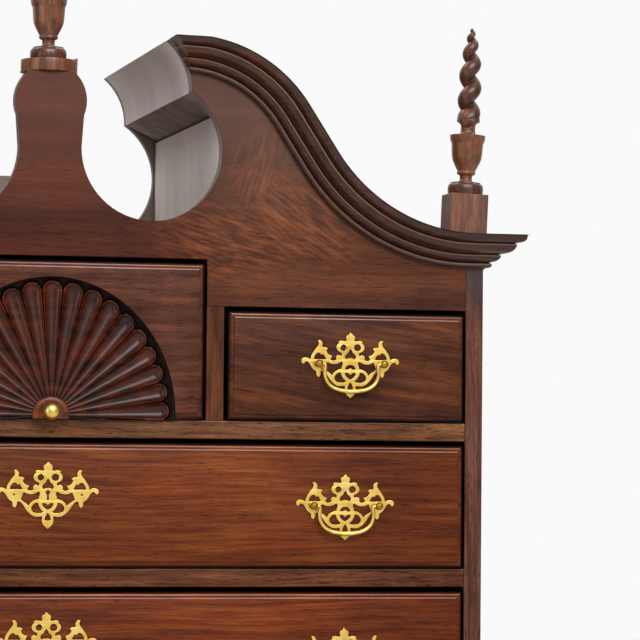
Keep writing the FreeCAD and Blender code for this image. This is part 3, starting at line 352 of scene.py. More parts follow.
# the backs are of boards 226 mm wide, each with its own tone, with open joints between them
BACK_BOARD_WIDE = 0.226
tree, up = back_pine.node_tree, place_on(back_pine)["Z"]
across = add_node(tree, "ShaderNodeMath", {"operation": "MODULO"}, n0=up, n1=BACK_BOARD_WIDE).outputs["Value"]
stain_along(back_pine, across, [(0.0, "#2a211c"), (0.0016, "#2a211c"), (0.003, "#ffffff")])
board = add_node(tree, "ShaderNodeMath", {"operation": "DIVIDE"}, n0=up, n1=BACK_BOARD_WIDE).outputs["Value"]
board = add_node(tree, "ShaderNodeMath", {"operation": "FLOOR"}, n0=board).outputs["Value"]
board = add_node(tree, "ShaderNodeTexWhiteNoise", {"noise_dimensions": "1D"}, W=board).outputs["Value"]
stain_along(back_pine, board, [(0.0, "#d2c4b8"), (1.0, "#fffaf4")])
eased("low_sides", end_walnut)
eased("low_frame", rail_walnut)
eased("low_back", back_pine)
eased("low_runners", pine_runners)

# ------------------------------------------------------------------ apron, knee blocks and drops
# The shaped apron hangs from the lowest rail; brackets glued beside each knee carry its curve on,
# and two turned acorn drops are plugged into its flats.
eased("apron", rail_walnut)
eased("knee_blocks", leg_walnut)


def close_up(bm):
    """Fills what is still open, and turns every face outwards."""
    bmesh.ops.holes_fill(bm, edges=[e for e in bm.edges if e.is_boundary])
    bmesh.ops.recalc_face_normals(bm, faces=bm.faces)


def turn_on_lathe(profile, steps=48):
    """A solid turned about Z from (radius, height) points in millimetres."""
    bm = bmesh.new()
    line = [bm.verts.new((radius / 1000, 0, height / 1000)) for radius, height in profile]
    edges = [bm.edges.new(pair) for pair in zip(line, line[1:])]
    bmesh.ops.spin(bm, geom=line + edges, cent=(0, 0, 0), axis=(0, 0, 1), angle=2 * math.pi, steps=steps,
                   use_merge=True)
    bmesh.ops.remove_doubles(bm, verts=bm.verts, dist=0.000001)
    close_up(bm)
    return bm


DROP = [(0, -62), (1.6, -61), (3.6, -57), (7.5, -50), (11, -42), (13, -34), (12, -27.5), (8, -23.5),
        (5.6, -21), (5.6, -21), (6.2, -18.5), (6.2, -18.5), (12.6, -16), (14, -12.4), (14, -8.6),
        (12.4, -6), (12.4, -6), (7, -3.7), (7, -3.7), (10.6, -1.2), (11.2, 0), (11.2, 0)]
TURNED_POLISH = {"band": 0.006, "roughness": 0.32, "gloss": 0.5, "coat": 0.15, "clouds_wide": 0.02}
turned_walnut = walnut("turned_walnut", "Z", "#573017", "#7f4d2f", "#9b633d", **TURNED_POLISH)
DROP_X, DROP_Y, DROP_TOP = 0.175, -0.2085, 0.466
drops = copies(turn_on_lathe(smooth_line(DROP, 3)),
               [Matrix.Translation((side * DROP_X, DROP_Y, DROP_TOP)) for side in (1, -1)])
finish_piece(drops, "acorn_drops", turned_walnut, ["apron_drops"])

# ------------------------------------------------------------------ waist moulding
# A cove and fillet run in three lengths, mitred at the front corners, nailed to the lower case so
# that the upper case drops in behind it.
WAIST = [(0, 0), (0, 0), (27, 0), (27, 0), (27, 4.8), (27, 4.8), (23.8, 6.2), (23.8, 6.2), (17, 7.3),
         (11, 9.6), (6.9, 13), (5.4, 17), (5.4, 17), (4.3, 17.4), (4.3, 19), (4.3, 19), (0, 19)]
# the mouldings' polish, with a darker painted shade in their quirks
DARK_POLISH = {"dark": "#381b10", "middle": "#482516", "light": "#59321f", "band": 0.005, "roughness": 0.3,
               "gloss": 0.35, "coat": 0.1, "shade_and_dirt_colour": "#1c100b", "shade_and_dirt_reach": 0.85}
moulding_walnut = walnut("dark_shellacked_walnut_mouldings", "X", **DARK_POLISH)
# half the upper case's width, its front and back planes, and the height of its foot
CASE_SIDE, CASE_FRONT, CASE_BACK, CASE_FOOT = 0.506, -0.19475, 0.23525, 0.89


def join_ring(bm, chain):
    """The edges that join a ring of vertices."""
    return [bm.edges.new(pair) for pair in zip(chain, chain[1:] + chain[:1])]


waist = bmesh.new()
edges = join_ring(waist, [waist.verts.new((-CASE_SIDE - out / 1000, CASE_BACK, CASE_FOOT + up / 1000))
                          for out, up in smooth_line(WAIST, 3)])
for stop in ("front left", "front right", "back right"):
    grown = bmesh.ops.extrude_edge_only(waist, edges=edges)["geom"]
    edges = only(grown, bmesh.types.BMEdge)
    for corner in only(grown, bmesh.types.BMVert):
        if stop == "front left":
            corner.co.y = CASE_FRONT - (-CASE_SIDE - corner.co.x)
        elif stop == "front right":
            corner.co.x = -corner.co.x
        else:
            corner.co.y = CASE_BACK
close_up(waist)
finish_piece(waist, "waist_cove", moulding_walnut, ["waist_moulding"], sharp=30)

# ------------------------------------------------------------------ upper case
# Two long walnut sides, the blades between the drawers and the partitions of the top row. Floor,
# top, back boards and runners are bare pine.
side_walnut = walnut("shellacked_walnut_sides", "Z", "#523226", "#6a4538", "#7d5546", band=0.006, pores=0.8)
# above the top row of drawers the sides were never polished again, and have gone grey
stain(side_walnut, shade("#403938"), by_height(side_walnut, 1.79, 1.85, 0.95), "MIX")
eased("upper_sides", side_walnut)
partition_walnut = walnut("shellacked_walnut_partitions", "Z", "#432212", "#5f361f", "#704226", band=0.005)
eased("upper_partitions", partition_walnut)
# lighter, glossier walnut for edges that face up: its colour is a painted highlight, with no painted corner
# shade
HIGHLIGHT_POLISH = {"band": 0.005, "gloss": 0.6, "shade_and_dirt": 0.0}
# the blades' upper front edges are painted lighter: a painted highlight
blade_arris_highlight = walnut("walnut_blade_arris_highlights", "X", "#8a675a", "#9c786b", "#ae8a7c", **HIGHLIGHT_POLISH)
eased("upper_blades", rail_walnut, ease=0.001, lighter_tone=blade_arris_highlight)
eased("upper_boards", bare_pine)
eased("upper_back", back_pine)
eased("upper_runners", pine_runners)

# ------------------------------------------------------------------ scroll board and bonnet
# One wide figured board is sawn to the swan necks and the two eyes. Behind it a second board, and
# bent roof, end and cheek boards of bare poplar, weathered grey, box the bonnet in.
figured_walnut = walnut("figured_walnut_scroll_board", "X", "#4f2c1d", "#613824", "#70442e", band=0.02,
                        figure=0.15, patches=0.5, clouds_wide=0.08)
# four bursts of flame figure: one stands steeply beside the eye, two sweep down to the right below it, and
# one crosses the left half. Each is fine orange streaks about 4 mm apart, strongest at its own centre.
# Each one's centre, slope in degrees, reach and the distance between its streaks:
BURSTS = (((0.238, -0.195, 1.962), 72, 0.07, 0.0042), ((0.29, -0.195, 1.9), -36, 0.10, 0.0044),
          ((0.2, -0.195, 1.872), -16, 0.11, 0.004), ((-0.27, -0.195, 1.91), 38, 0.12, 0.0044))
tree = figured_walnut.node_tree
place = add_node(tree, "ShaderNodeTexCoord").outputs["Object"]
for centre, slope, reach, wide in BURSTS:
    local = add_node(tree, "ShaderNodeMapping", {"vector_type": "TEXTURE"}, Vector=place, Location=centre,
                     Rotation=(0, -math.radians(slope), 0)).outputs["Vector"]
    drift = add_node(tree, "ShaderNodeTexNoise", Vector=local, Scale=7.0, Detail=1.0).outputs["Color"]
    drift = add_node(tree, "ShaderNodeVectorMath", {"operation": "SCALE"}, n0=drift,
                     Scale=0.02).outputs["Vector"]
    bent = add_node(tree, "ShaderNodeVectorMath", {"operation": "ADD"}, n0=local, n1=drift).outputs["Vector"]
    streaks = add_node(tree, "ShaderNodeMapping", Vector=bent,
                       Scale=(1 / (9 * wide), 1, 1 / wide)).outputs["Vector"]
    streaks = add_node(tree, "ShaderNodeTexNoise", Vector=streaks, Scale=1.0, Detail=3.0,
                       Roughness=0.6).outputs["Fac"]
    streaks = add_node(tree, "ShaderNodeMapRange", Value=streaks, From_Min=0.42,
                       From_Max=0.68).outputs["Result"]
    away = add_node(tree, "ShaderNodeMapping", Vector=local,
                    Scale=(1 / reach, 1, 1.6 / reach)).outputs["Vector"]
    away = add_node(tree, "ShaderNodeVectorMath", {"operation": "LENGTH"}, n0=away).outputs["Value"]
    near = add_node(tree, "ShaderNodeMapRange", {"interpolation_type": "SMOOTHSTEP"}, Value=away,
                    From_Min=1.0, From_Max=0.2, To_Max=0.6).outputs["Result"]
    share = add_node(tree, "ShaderNodeMath", {"operation": "MULTIPLY"}, n0=streaks, n1=near).outputs["Value"]
    stain(figured_walnut, shade("#9c5a34"), share, "MIX")


def from_middle(material):
    """How far the spot is to either side of the object's middle, in metres."""
    return add_node(material.node_tree, "ShaderNodeMath", {"operation": "ABSOLUTE"},
                    n0=place_on(material)["X"]).outputs["Value"]


# the board has faded to a greyer brown towards its top, and stayed darker and redder round its middle
stain(figured_walnut, shade("#634b42"), by_height(figured_walnut, 1.88, 2.02, 0.6), "MIX")
stain_along(figured_walnut, from_middle(figured_walnut),
            [(0.09, "#efcdc3"), (0.2, "#efefef"), (0.27, "#ffffff")])
eased("scroll_board", figured_walnut)
grey_poplar = walnut("bare_weathered_poplar", "Z", "#857b76", "#8e837f", "#948a85", roughness=0.85, band=0.03,
                     gloss=0.2, pores=0.1, patches=0.3, clouds_wide=0.04, fibre=0.3)
eased("bonnet_back", grey_poplar)
eased("bonnet_roof", grey_poplar)
pale_poplar = walnut("bare_pale_poplar_lining", "Z", "#cfc8c5", "#d3cdca", "#d8d2cf", roughness=0.85,
                     band=0.05, pores=0.0, patches=0.08, clouds_wide=0.03, fibre=0.15)
# dust has settled more on the boards high in the scroll's ends
stain_along(pale_poplar, by_height(pale_poplar, 1.97, 2.01), [(0.0, "#ffffff"), (1.0, "#f0ebee")])
lining = eased("bonnet_lining", pale_poplar)
# painted shade: the undersides, which look down, are of the darker grey poplar
lining.data.materials.append(grey_poplar)
for side in lining.data.polygons:
    if side.normal.z < -0.8:
        side.material_index = 1

# ------------------------------------------------------------------ swan-neck and side mouldings
# Gooseneck mouldings carved along the scroll's curve, and straight returns down the sides, mitred
# at the corners: three rounds stepping in under a flat top, over a small bead.
CROWN = [(0, 0), (0, 0), (40.6, 0), (41, 0.4), (41, 0.4), (41, 2.4), (41, 2.4), (40, 5.8), (37.2, 8.2),
         (33, 9.3), (33, 9.3), (29.4, 9.5), (29.4, 9.5), (29.6, 10.4), (29.6, 10.4), (31.2, 10.7),
         (31.2, 10.7), (31.2, 12), (31.2, 12), (30.3, 14.8), (28, 17.8), (24, 20.2), (18.6, 21.6),
         (18.6, 21.6), (14.6, 21.8), (14.6, 21.8), (14.8, 22.7), (14.8, 22.7), (16.4, 23), (16.4, 23),
         (16.4, 24.3), (16.4, 24.3), (15.2, 27), (12.2, 29.4), (8.6, 30.7), (8.6, 30.7), (5.8, 30.9),
         (5.8, 30.9), (6, 31.8), (6, 31.8), (7.4, 32.4), (8, 33.8), (7.6, 35.6), (6, 37), (3.6, 37.4),
         (3.6, 37.4), (1.2, 37.5), (1.2, 37.5), (1.2, 39), (1.2, 39), (0, 39)]
CROWN_HIGH, CORNICE_TOP = 0.039, 1.8865
crown = [(out / 1000, down / 1000) for out, down in smooth_line(CROWN, 3)]
# the two fillets and the bead's shoulder are painted lighter, as painted highlights; a point's attribute
# "below" says how far down the section it is, from 0 to 1
FILLET_HIGHLIGHTS = [(0.26, "#000000"), (0.274, "#ffffff"), (0.308, "#ffffff"), (0.322, "#000000"),
           (0.58, "#000000"), (0.59, "#ffffff"), (0.623, "#ffffff"), (0.637, "#000000"),
           (0.815, "#000000"), (0.836, "#cccccc"), (0.87, "#cccccc"), (0.9, "#000000")]


def paint_fillet_highlights(material):
    """Lightens the moulding's fillets: a painted highlight."""
    below = add_node(material.node_tree, "ShaderNodeAttribute", {"attribute_name": "below"}).outputs["Fac"]
    share = add_node(material.node_tree, "ShaderNodeValToRGB", Fac=below, stops=FILLET_HIGHLIGHTS).outputs["Color"]
    share = add_node(material.node_tree, "ShaderNodeMath", {"operation": "MULTIPLY"}, n0=share,
                     n1=0.5).outputs["Value"]
    stain(material, shade("#966e5c"), share, "MIX")


paint_fillet_highlights(moulding_walnut)
# the neck's upper edge: an arc over the peak as far as the bend, a straight, and an arc that sweeps out to
# the corner. The hollow is the circle that cuts off the neck's inner end, beside the centre plinth.
peak_x, peak_z, peak_radius = 0.150, 1.937, 0.165
peak_centre = Vector((peak_x, 0, peak_z))
sweep_centre, sweep_radius = Vector((0.4855, 0, 2.08166)), 0.19516
hollow_centre, hollow_radius = Vector((0.0870, 0, 2.0441)), 0.074
first, bend_turn = math.radians(8), math.radians(57)


def hollow_angle(reach):
    """The angle from the peak at which a circle of this radius meets the scroll's hollow end."""
    between = hollow_centre - peak_centre
    gap = between.length
    across = (reach ** 2 - hollow_radius ** 2 + gap ** 2) / (2 * gap)
    aside = math.sqrt(max(reach ** 2 - across ** 2, 0))
    along = between / gap
    meets = along * across + Vector((along.z, 0, -along.x)) * aside
    return math.atan2(meets.x, meets.z)


neck = bmesh.new()
below = neck.verts.layers.float.new("below")
chain = []
for out, down in crown:
    reach = peak_radius - down
    chain.append(neck.verts.new(peak_centre + Vector((reach * math.sin(first), CASE_FRONT - out,
                                                      reach * math.cos(first)))))
    chain[-1][below] = down / CROWN_HIGH
swept = bmesh.ops.spin(neck, geom=chain + join_ring(neck, chain), cent=peak_centre, axis=(0, 1, 0),
                       angle=bend_turn - first, steps=36)
line = only(swept["geom_last"], bmesh.types.BMEdge)
grown = bmesh.ops.extrude_edge_only(neck, edges=line)["geom"]
outward = Vector((math.sin(bend_turn), 0, math.cos(bend_turn)))
bend = peak_centre + outward * peak_radius
sweep = sweep_centre - outward * sweep_radius
bmesh.ops.translate(neck, verts=only(grown, bmesh.types.BMVert), vec=sweep - bend)
line = only(grown, (bmesh.types.BMVert, bmesh.types.BMEdge))
swept = bmesh.ops.spin(neck, geom=line, cent=sweep_centre, axis=(0, 1, 0), angle=-bend_turn, steps=36)
line = only(swept["geom_last"], bmesh.types.BMEdge)
grown = bmesh.ops.extrude_edge_only(neck, edges=line)["geom"]
for corner in only(grown, bmesh.types.BMVert):
    corner.co.x = CASE_SIDE + (CASE_FRONT - corner.co.y)
# the open end left of the sweep is the inner one: it is carried on to the hollow's circle
inner_end = [e for e in neck.edges if e.is_boundary and max(v.co.x for v in e.verts) < 0.3]
grown = bmesh.ops.extrude_edge_only(neck, edges=inner_end)["geom"]
for corner in only(grown, bmesh.types.BMVert):
    reach = (corner.co - Vector((peak_x, corner.co.y, peak_z))).length
    angle = hollow_angle(reach)
    corner.co = Vector((peak_x + reach * math.sin(angle), corner.co.y, peak_z + reach * math.cos(angle)))
close_up(neck)
right_and_left = [Matrix.Diagonal((side, 1, 1, 1)) for side in (1, -1)]
finish_piece(copies(neck, right_and_left), "gooseneck_mouldings", moulding_walnut, ["swan_necks"],
             sharp=28)

returns = bmesh.new()
below = returns.verts.layers.float.new("below")
chain = [returns.verts.new((CASE_SIDE + out, CASE_FRONT - out, CORNICE_TOP - down)) for out, down in crown]
for corner, (out, down) in zip(chain, crown):
    corner[below] = down / CROWN_HIGH
grown = bmesh.ops.extrude_edge_only(returns, edges=join_ring(returns, chain))["geom"]
for corner in only(grown, bmesh.types.BMVert):
    corner.co.y = CASE_BACK
close_up(returns)
cornice_walnut = walnut("dark_shellacked_walnut_returns", "Y", **DARK_POLISH)
paint_fillet_highlights(cornice_walnut)
finish_piece(copies(returns, right_and_left), "cornice_returns", cornice_walnut, ["side_cornices"],
             sharp=28)

# ------------------------------------------------------------------ finial plinths and finials
# Square walnut plinths stand on the corners, and a disc on the centre board. Each finial is turned
# as an urn in one length with a flame that is carved as a single-start corkscrew.
plinth_walnut = walnut("shellacked_walnut_plinths", "Z", "#704634", "#8e5e45", "#a7734a", band=0.006,
                       gloss=0.4)
plinths = eased("finial_plinths", plinth_walnut)
# the finials' feet: on the two corner plinths, and on a disc over the centre board
CORNER_X, CORNER_Y, PLINTH_FOOT, PLINTH_TOP = 0.488, -0.17275, 1.886, 1.935
CENTRE_Y, DISC_FOOT, DISC_TOP = -0.16825, 2.06, 2.075
# the right-hand plinth's glue has crept, so it and its finial lean outwards by some two degrees
lean_foot = Vector((CORNER_X, CORNER_Y, PLINTH_FOOT))
lean = (Matrix.Translation(lean_foot) @ Matrix.Rotation(math.radians(2.2), 4, "Y") @
        Matrix.Translation(-lean_foot))
for corner in plinths.data.vertices:
    if corner.co.x > 0:
        corner.co = lean @ corner.co
# the plinths' two sides are greyer and darker than their fronts: painted shade
plinth_side_shade = walnut("walnut_plinth_sides_painted_shade", "Z", "#67473d", "#7d5a4f", "#936b5d", band=0.006)
plinths.data.materials.append(plinth_side_shade)
for side in plinths.data.polygons:
    if abs(side.normal.x) > 0.9:
        side.material_index = 1
URN = [(0, 0), (0, 0), (18.4, 0), (20.2, 1.4), (20.7, 5.2), (20.5, 8.8), (19.4, 11.6), (17.4, 13.1),
       (17.4, 13.1), (17.2, 14.2), (17.2, 14.2), (9.4, 14.9), (9.4, 14.9), (7.6, 16.6), (7.1, 19),
       (7.4, 22.6), (7.4, 22.6), (9.6, 23.4), (10.8, 25.2), (10.6, 26.9), (10.2, 27.6), (10.2, 27.6),
       (12.4, 31.8), (14.9, 36.7), (17.1, 42.5), (18, 51), (18.5, 59), (18.5, 59), (18.6, 60), (18.6, 60),
       (19.8, 62.6), (20.6, 66), (20.7, 69.2), (20.7, 69.2), (11, 70.2), (11, 70.2), (9.1, 72), (8.5, 75),
       (8.5, 80), (9.8, 83.2), (13.1, 85), (13.1, 85), (13.5, 86), (13.4, 87.4), (13, 91), (11.6, 95.6),
       (8, 100), (0, 103)]
FOOT_RING_HIGH = 0.0145
finial = turn_on_lathe(smooth_line(URN, 3), 56)
for side in finial.faces:
    side.material_index = 1 if side.calc_center_median().z < FOOT_RING_HIGH else 0
# the strand climbs 29 mm a turn at first and tightens to the tip: its height on a steady climb, the real
# height and the share of its full width left there
FLAME = [(60, 61, 1), (81, 82, 1), (95.5, 95.5, 1), (110, 110.5, 1), (124.5, 125, 1), (139, 140.5, 0.96),
         (153.5, 154.5, 0.88), (168, 167, 0.74), (182.5, 177.5, 0.58), (197, 184.8, 0.42),
         (211.5, 190, 0.26), (226, 193.4, 0.15), (240, 194.9, 0.05), (260, 194.9, 0.05)]
# the strand's rise in a turn, its own radius, how far its middle runs from the finial's axis, and the height
# at which the first of its turns is counted
STRAND_RISE, STRAND_THICK, STRAND_OUT, STRAND_FOOT = 0.029, 0.0096, 0.0041, 0.0955
climb = math.atan2(STRAND_RISE / (2 * math.pi), STRAND_OUT)
first_turn, last_turn, flame_steps = -0.42, 4.8, 188
turns = last_turn - first_turn
flame = bmesh.new()
bmesh.ops.create_circle(flame, segments=20, radius=STRAND_THICK,
                        matrix=Matrix.Translation((STRAND_OUT, 0, STRAND_FOOT + STRAND_RISE * first_turn)) @
                        Matrix.Rotation(climb - math.pi / 2, 4, "X"))
bmesh.ops.spin(flame, geom=flame.verts[:] + flame.edges[:], cent=(0, 0, 0), axis=(0, 0, 1),
               angle=2 * math.pi * turns, steps=flame_steps, dvec=(0, 0, STRAND_RISE * turns / flame_steps))
bmesh.ops.rotate(flame, verts=flame.verts, cent=(0, 0, 0),
                 matrix=Matrix.Rotation(2 * math.pi * first_turn - math.radians(13.6), 3, "Z"))
for corner in flame.verts:
    steady = corner.co.z * 1000
    number = next(i for i in range(1, len(FLAME)) if steady <= FLAME[i][0] or i == len(FLAME) - 1)
    (a, a_high, a_wide), (b, b_high, b_wide) = FLAME[number - 1:number + 1]
    share = min((steady - a) / (b - a), 1)
    width = a_wide + (b_wide - a_wide) * share
    height = (a_high + (b_high - a_high) * share) / 1000
    corner.co = Vector((corner.co.x * width, corner.co.y * width, height))
close_up(flame)
for side in flame.faces:
    side.material_index = 1
put_copy(finial, flame, Matrix.Identity(4))
flame.free()
finials = copies(finial, [lean @ Matrix.Translation((CORNER_X, CORNER_Y, PLINTH_TOP)),
                          Matrix.Translation((-CORNER_X, CORNER_Y, PLINTH_TOP)),
                          Matrix.Translation((0, CENTRE_Y, DISC_TOP))])
DISC = [(0, 0), (0, 0), (29.6, 0), (31, 1.4), (31, 1.4), (31, 13.2), (30.4, 14.6), (29, 15), (29, 15),
        (0, 15)]
disc = turn_on_lathe(smooth_line(DISC, 2), 64)
put_copy(finials, disc, Matrix.Translation((0, CENTRE_Y, DISC_FOOT)))
disc.free()
spires = finish_piece(finials, "corkscrew_finials", turned_walnut, ["finials"], sharp=40)
# the flames and the foot rings hold more old polish than the smooth urns
dark_turned = walnut("darker_turned_walnut", "Z", "#421d0a", "#5e3017", "#744120", **TURNED_POLISH)
spires.data.materials.append(dark_turned)

# ------------------------------------------------------------------ drawers
# Each front is one walnut board with a thumbnail edge: a quarter round, a quirk and a fillet up to
# the face. Behind it a pine box: two sides, a back and a bottom.
long_front = walnut("reddish_walnut_long_fronts", "X", "#642e15", "#7b3c19", "#8d4e23", band=0.005,
                    patches=0.3)
# darker towards the drawers' ends
stain_along(long_front, from_middle(long_front),
            [(0.0, "#ececec"), (0.12, "#ffffff"), (0.27, "#ffffff"), (0.39, "#d9d4d4")])
# the lower drawers have the warmer polish
stain_along(long_front, by_height(long_front, 1.485, 1.5), [(0.0, "#ffeed8"), (1.0, "#ffffff")])
# the arris over the raised face is painted lighter than the board, a painted highlight, and is shinier
long_arris_highlight = walnut("walnut_long_arris_highlights", "X", "#8a4528", "#a35c38", "#b87048", **HIGHLIGHT_POLISH)
small_arris_highlight = walnut("walnut_small_arris_highlights", "X", "#7a4a38", "#94624c", "#a8765c", **HIGHLIGHT_POLISH)
small_front = walnut("brown_walnut_small_fronts", "X", "#462315", "#5d3521", "#71442b", band=0.007,
                     figure=0.2, patches=0.5, clouds_wide=0.04, tilt=math.radians(-8))
# a front's thickness and its edge's depth, the boards of the box behind it, and where the box ends
FRONT_THICK, EDGE_DEEP, SIDE_THICK, BOTTOM_THICK, BOX_BACK = 0.022, 0.0115, 0.012, 0.008, 0.21325
# how far to the right of the middle each fan is struck, its half width and its height
FANS = {"fan_drawer": (0.0027, 0.1345, 0.151), "low_fan_drawer": (0.0, 0.127, 0.129)}


def face_of(drawer):
    """Where the drawer's face stands: the lower case is the deeper one."""
    return -0.22675 if drawer.startswith("low_") else -0.20275


def block(centre, size):
    """The matrix that makes a cube of size 1 a block of this size."""
    return Matrix.Translation(centre) @ Matrix.Diagonal((*size, 1))


def add_board(bm, low, high):
    """A planed board between two corners, its edges eased."""
    low, high = Vector(low), Vector(high)
    made = bmesh.ops.create_cube(bm, size=1, matrix=block((low + high) / 2, high - low))["verts"]
    rub_down(bm, list({edge for vert in made for edge in vert.link_edges}))


def moulded_front(low, high, face):
    """A drawer front between two corners. Its thumbnail edge is 9 mm wide and 11.5 mm deep, so its outer
    half lies behind the case's face, where painted shade darkens it: recess is 0 at the face and 1 at the
    edge's foot."""
    bm = bmesh.new()
    recess = bm.verts.layers.float.new("recess")
    start, thick = face + EDGE_DEEP, FRONT_THICK - EDGE_DEEP
    centre = Vector(((low.x + high.x) / 2, start + thick / 2, (low.z + high.z) / 2))
    size = Vector((high.x - low.x, thick, high.z - low.z))
    bmesh.ops.create_cube(bm, size=1, matrix=block(centre, size))
    bm.normal_update()
    show = next(f for f in bm.faces if f.normal.y < -0.9)
    # the quarter round in eight steps, 6.4 mm wide and 9.6 mm deep, then the quirk, the fillet and the arris
    round_wide, round_deep = 0.0064, 0.0096
    quarter = [(round_wide * (1 - math.cos(i * math.pi / 16)), round_deep * math.sin(i * math.pi / 16))
               for i in range(9)]
    steps = [(b[0] - a[0], b[1] - a[1]) for a, b in zip(quarter, quarter[1:])]
    steps += [(0.0011, 0), (0.0001, 0.0014), (0.0013, 0.0005)]
    for number, (inwards, forwards) in enumerate(steps):
        ring = bmesh.ops.inset_region(bm, faces=[show], thickness=inwards, depth=forwards,
                                      use_even_offset=True, use_boundary=True)["faces"]
        bm.normal_update()
        # what faces up near the round's crest and at the arris is painted lighter: a painted highlight
        for side in ring:
            if number in (6, len(steps) - 1) and side.normal.z > 0.15:
                side.material_index = 1
    for corner in bm.verts:
        behind = (corner.co.y - face) / EDGE_DEEP
        corner[recess] = behind if behind < 1.01 else 0.0
    rub_down(bm, [e for e in bm.edges if all(v.co.y > face + FRONT_THICK - 0.0001 for v in e.verts)])
    return bm


def shade_thumbnail_recess(material):
    """Paints near-black shade on the outer half of the fronts' thumbnail edge, which lies back in the
    opening.
    """
    depth = add_node(material.node_tree, "ShaderNodeAttribute", {"attribute_name": "recess"}).outputs["Fac"]
    stain_along(material, depth, [(0.17, "#ffffff"), (0.3, "#b0a49c"), (0.42, "#3a2e28"), (0.6, "#120c0a")])


shade_thumbnail_recess(long_front)
shade_thumbnail_recess(small_front)
drawer_names = [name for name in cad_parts
                if "drawer" in name and not name.endswith(("brasses", "bail", "knob"))]
pine_sides = walnut("planed_pine_drawer_sides", "Y", "#8a7050", "#a88c68", "#bda27c", roughness=0.7,
                    band=0.012, pores=0.1)
for name in drawer_names:
    low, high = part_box(name)
    face = face_of(name)
    if name not in FANS:
        front = moulded_front(low, high, face)
        piece = finish_piece(front, name + "_front", long_front if "long" in name else small_front, [name],
                             body=name, sharp=22)
        piece.data.materials.append(long_arris_highlight if "long" in name else small_arris_highlight)
    box = bmesh.new()
    # the box is 1 mm narrower than the front on each side, and its sides are 12 mm lower
    start, floor_top, rim = face + FRONT_THICK, low.z + BOTTOM_THICK, high.z - 0.012
    left, right = low.x + 0.001, high.x - 0.001
    add_board(box, (left, start, low.z), (right, BOX_BACK, floor_top))
    add_board(box, (left, start, floor_top), (left + SIDE_THICK, BOX_BACK, rim))
    add_board(box, (right - SIDE_THICK, start, floor_top), (right, BOX_BACK, rim))
    add_board(box, (left + SIDE_THICK, BOX_BACK - SIDE_THICK, floor_top), (right - SIDE_THICK, BOX_BACK, rim))
    finish_piece(box, name + "_box", pine_sides, body=name)


# ------------------------------------------------------------------ carved fans
# The two middle drawers carry a fan carved in the board: nineteen hollow petals with rounded ends
# and raised rims, in a ground that is gouged away round them, over a half-round boss.
def as_bmesh(thing):
    """The object's finished mesh, as a bmesh. The object itself is removed."""
    scene.collection.objects.link(thing)
    mesh = bpy.data.meshes.new_from_object(thing.evaluated_get(bpy.context.evaluated_depsgraph_get()))
    bpy.data.objects.remove(thing)
    bm = bmesh.new()
    bm.from_mesh(mesh)
    bpy.data.meshes.remove(mesh)
    return bm


# tips what is drawn flat, or turned about Z, up to face the front
toward_front = Matrix.Rotation(math.pi / 2, 4, "X")
BOSS = [(0, 2), (0, 2), (12.2, 2), (12.2, 2), (12.6, 1.3), (13.6, 1.3), (13.6, 1.3), (14.6, 2.0),
        (16.4, 2.4), (19.2, 1.8), (20.9, 0), (21.3, -3), (21.3, -3), (0, -3)]
# where the columns of the carving stand across a petal: close together at the groove and the rim
COLUMNS = [-1, -0.96, -0.91, -0.86, -0.83, -0.8, -0.72, -0.6, -0.42, -0.2, 0, 0.2, 0.42, 0.6, 0.72, 0.8,
           0.83, 0.86, 0.91, 0.96]


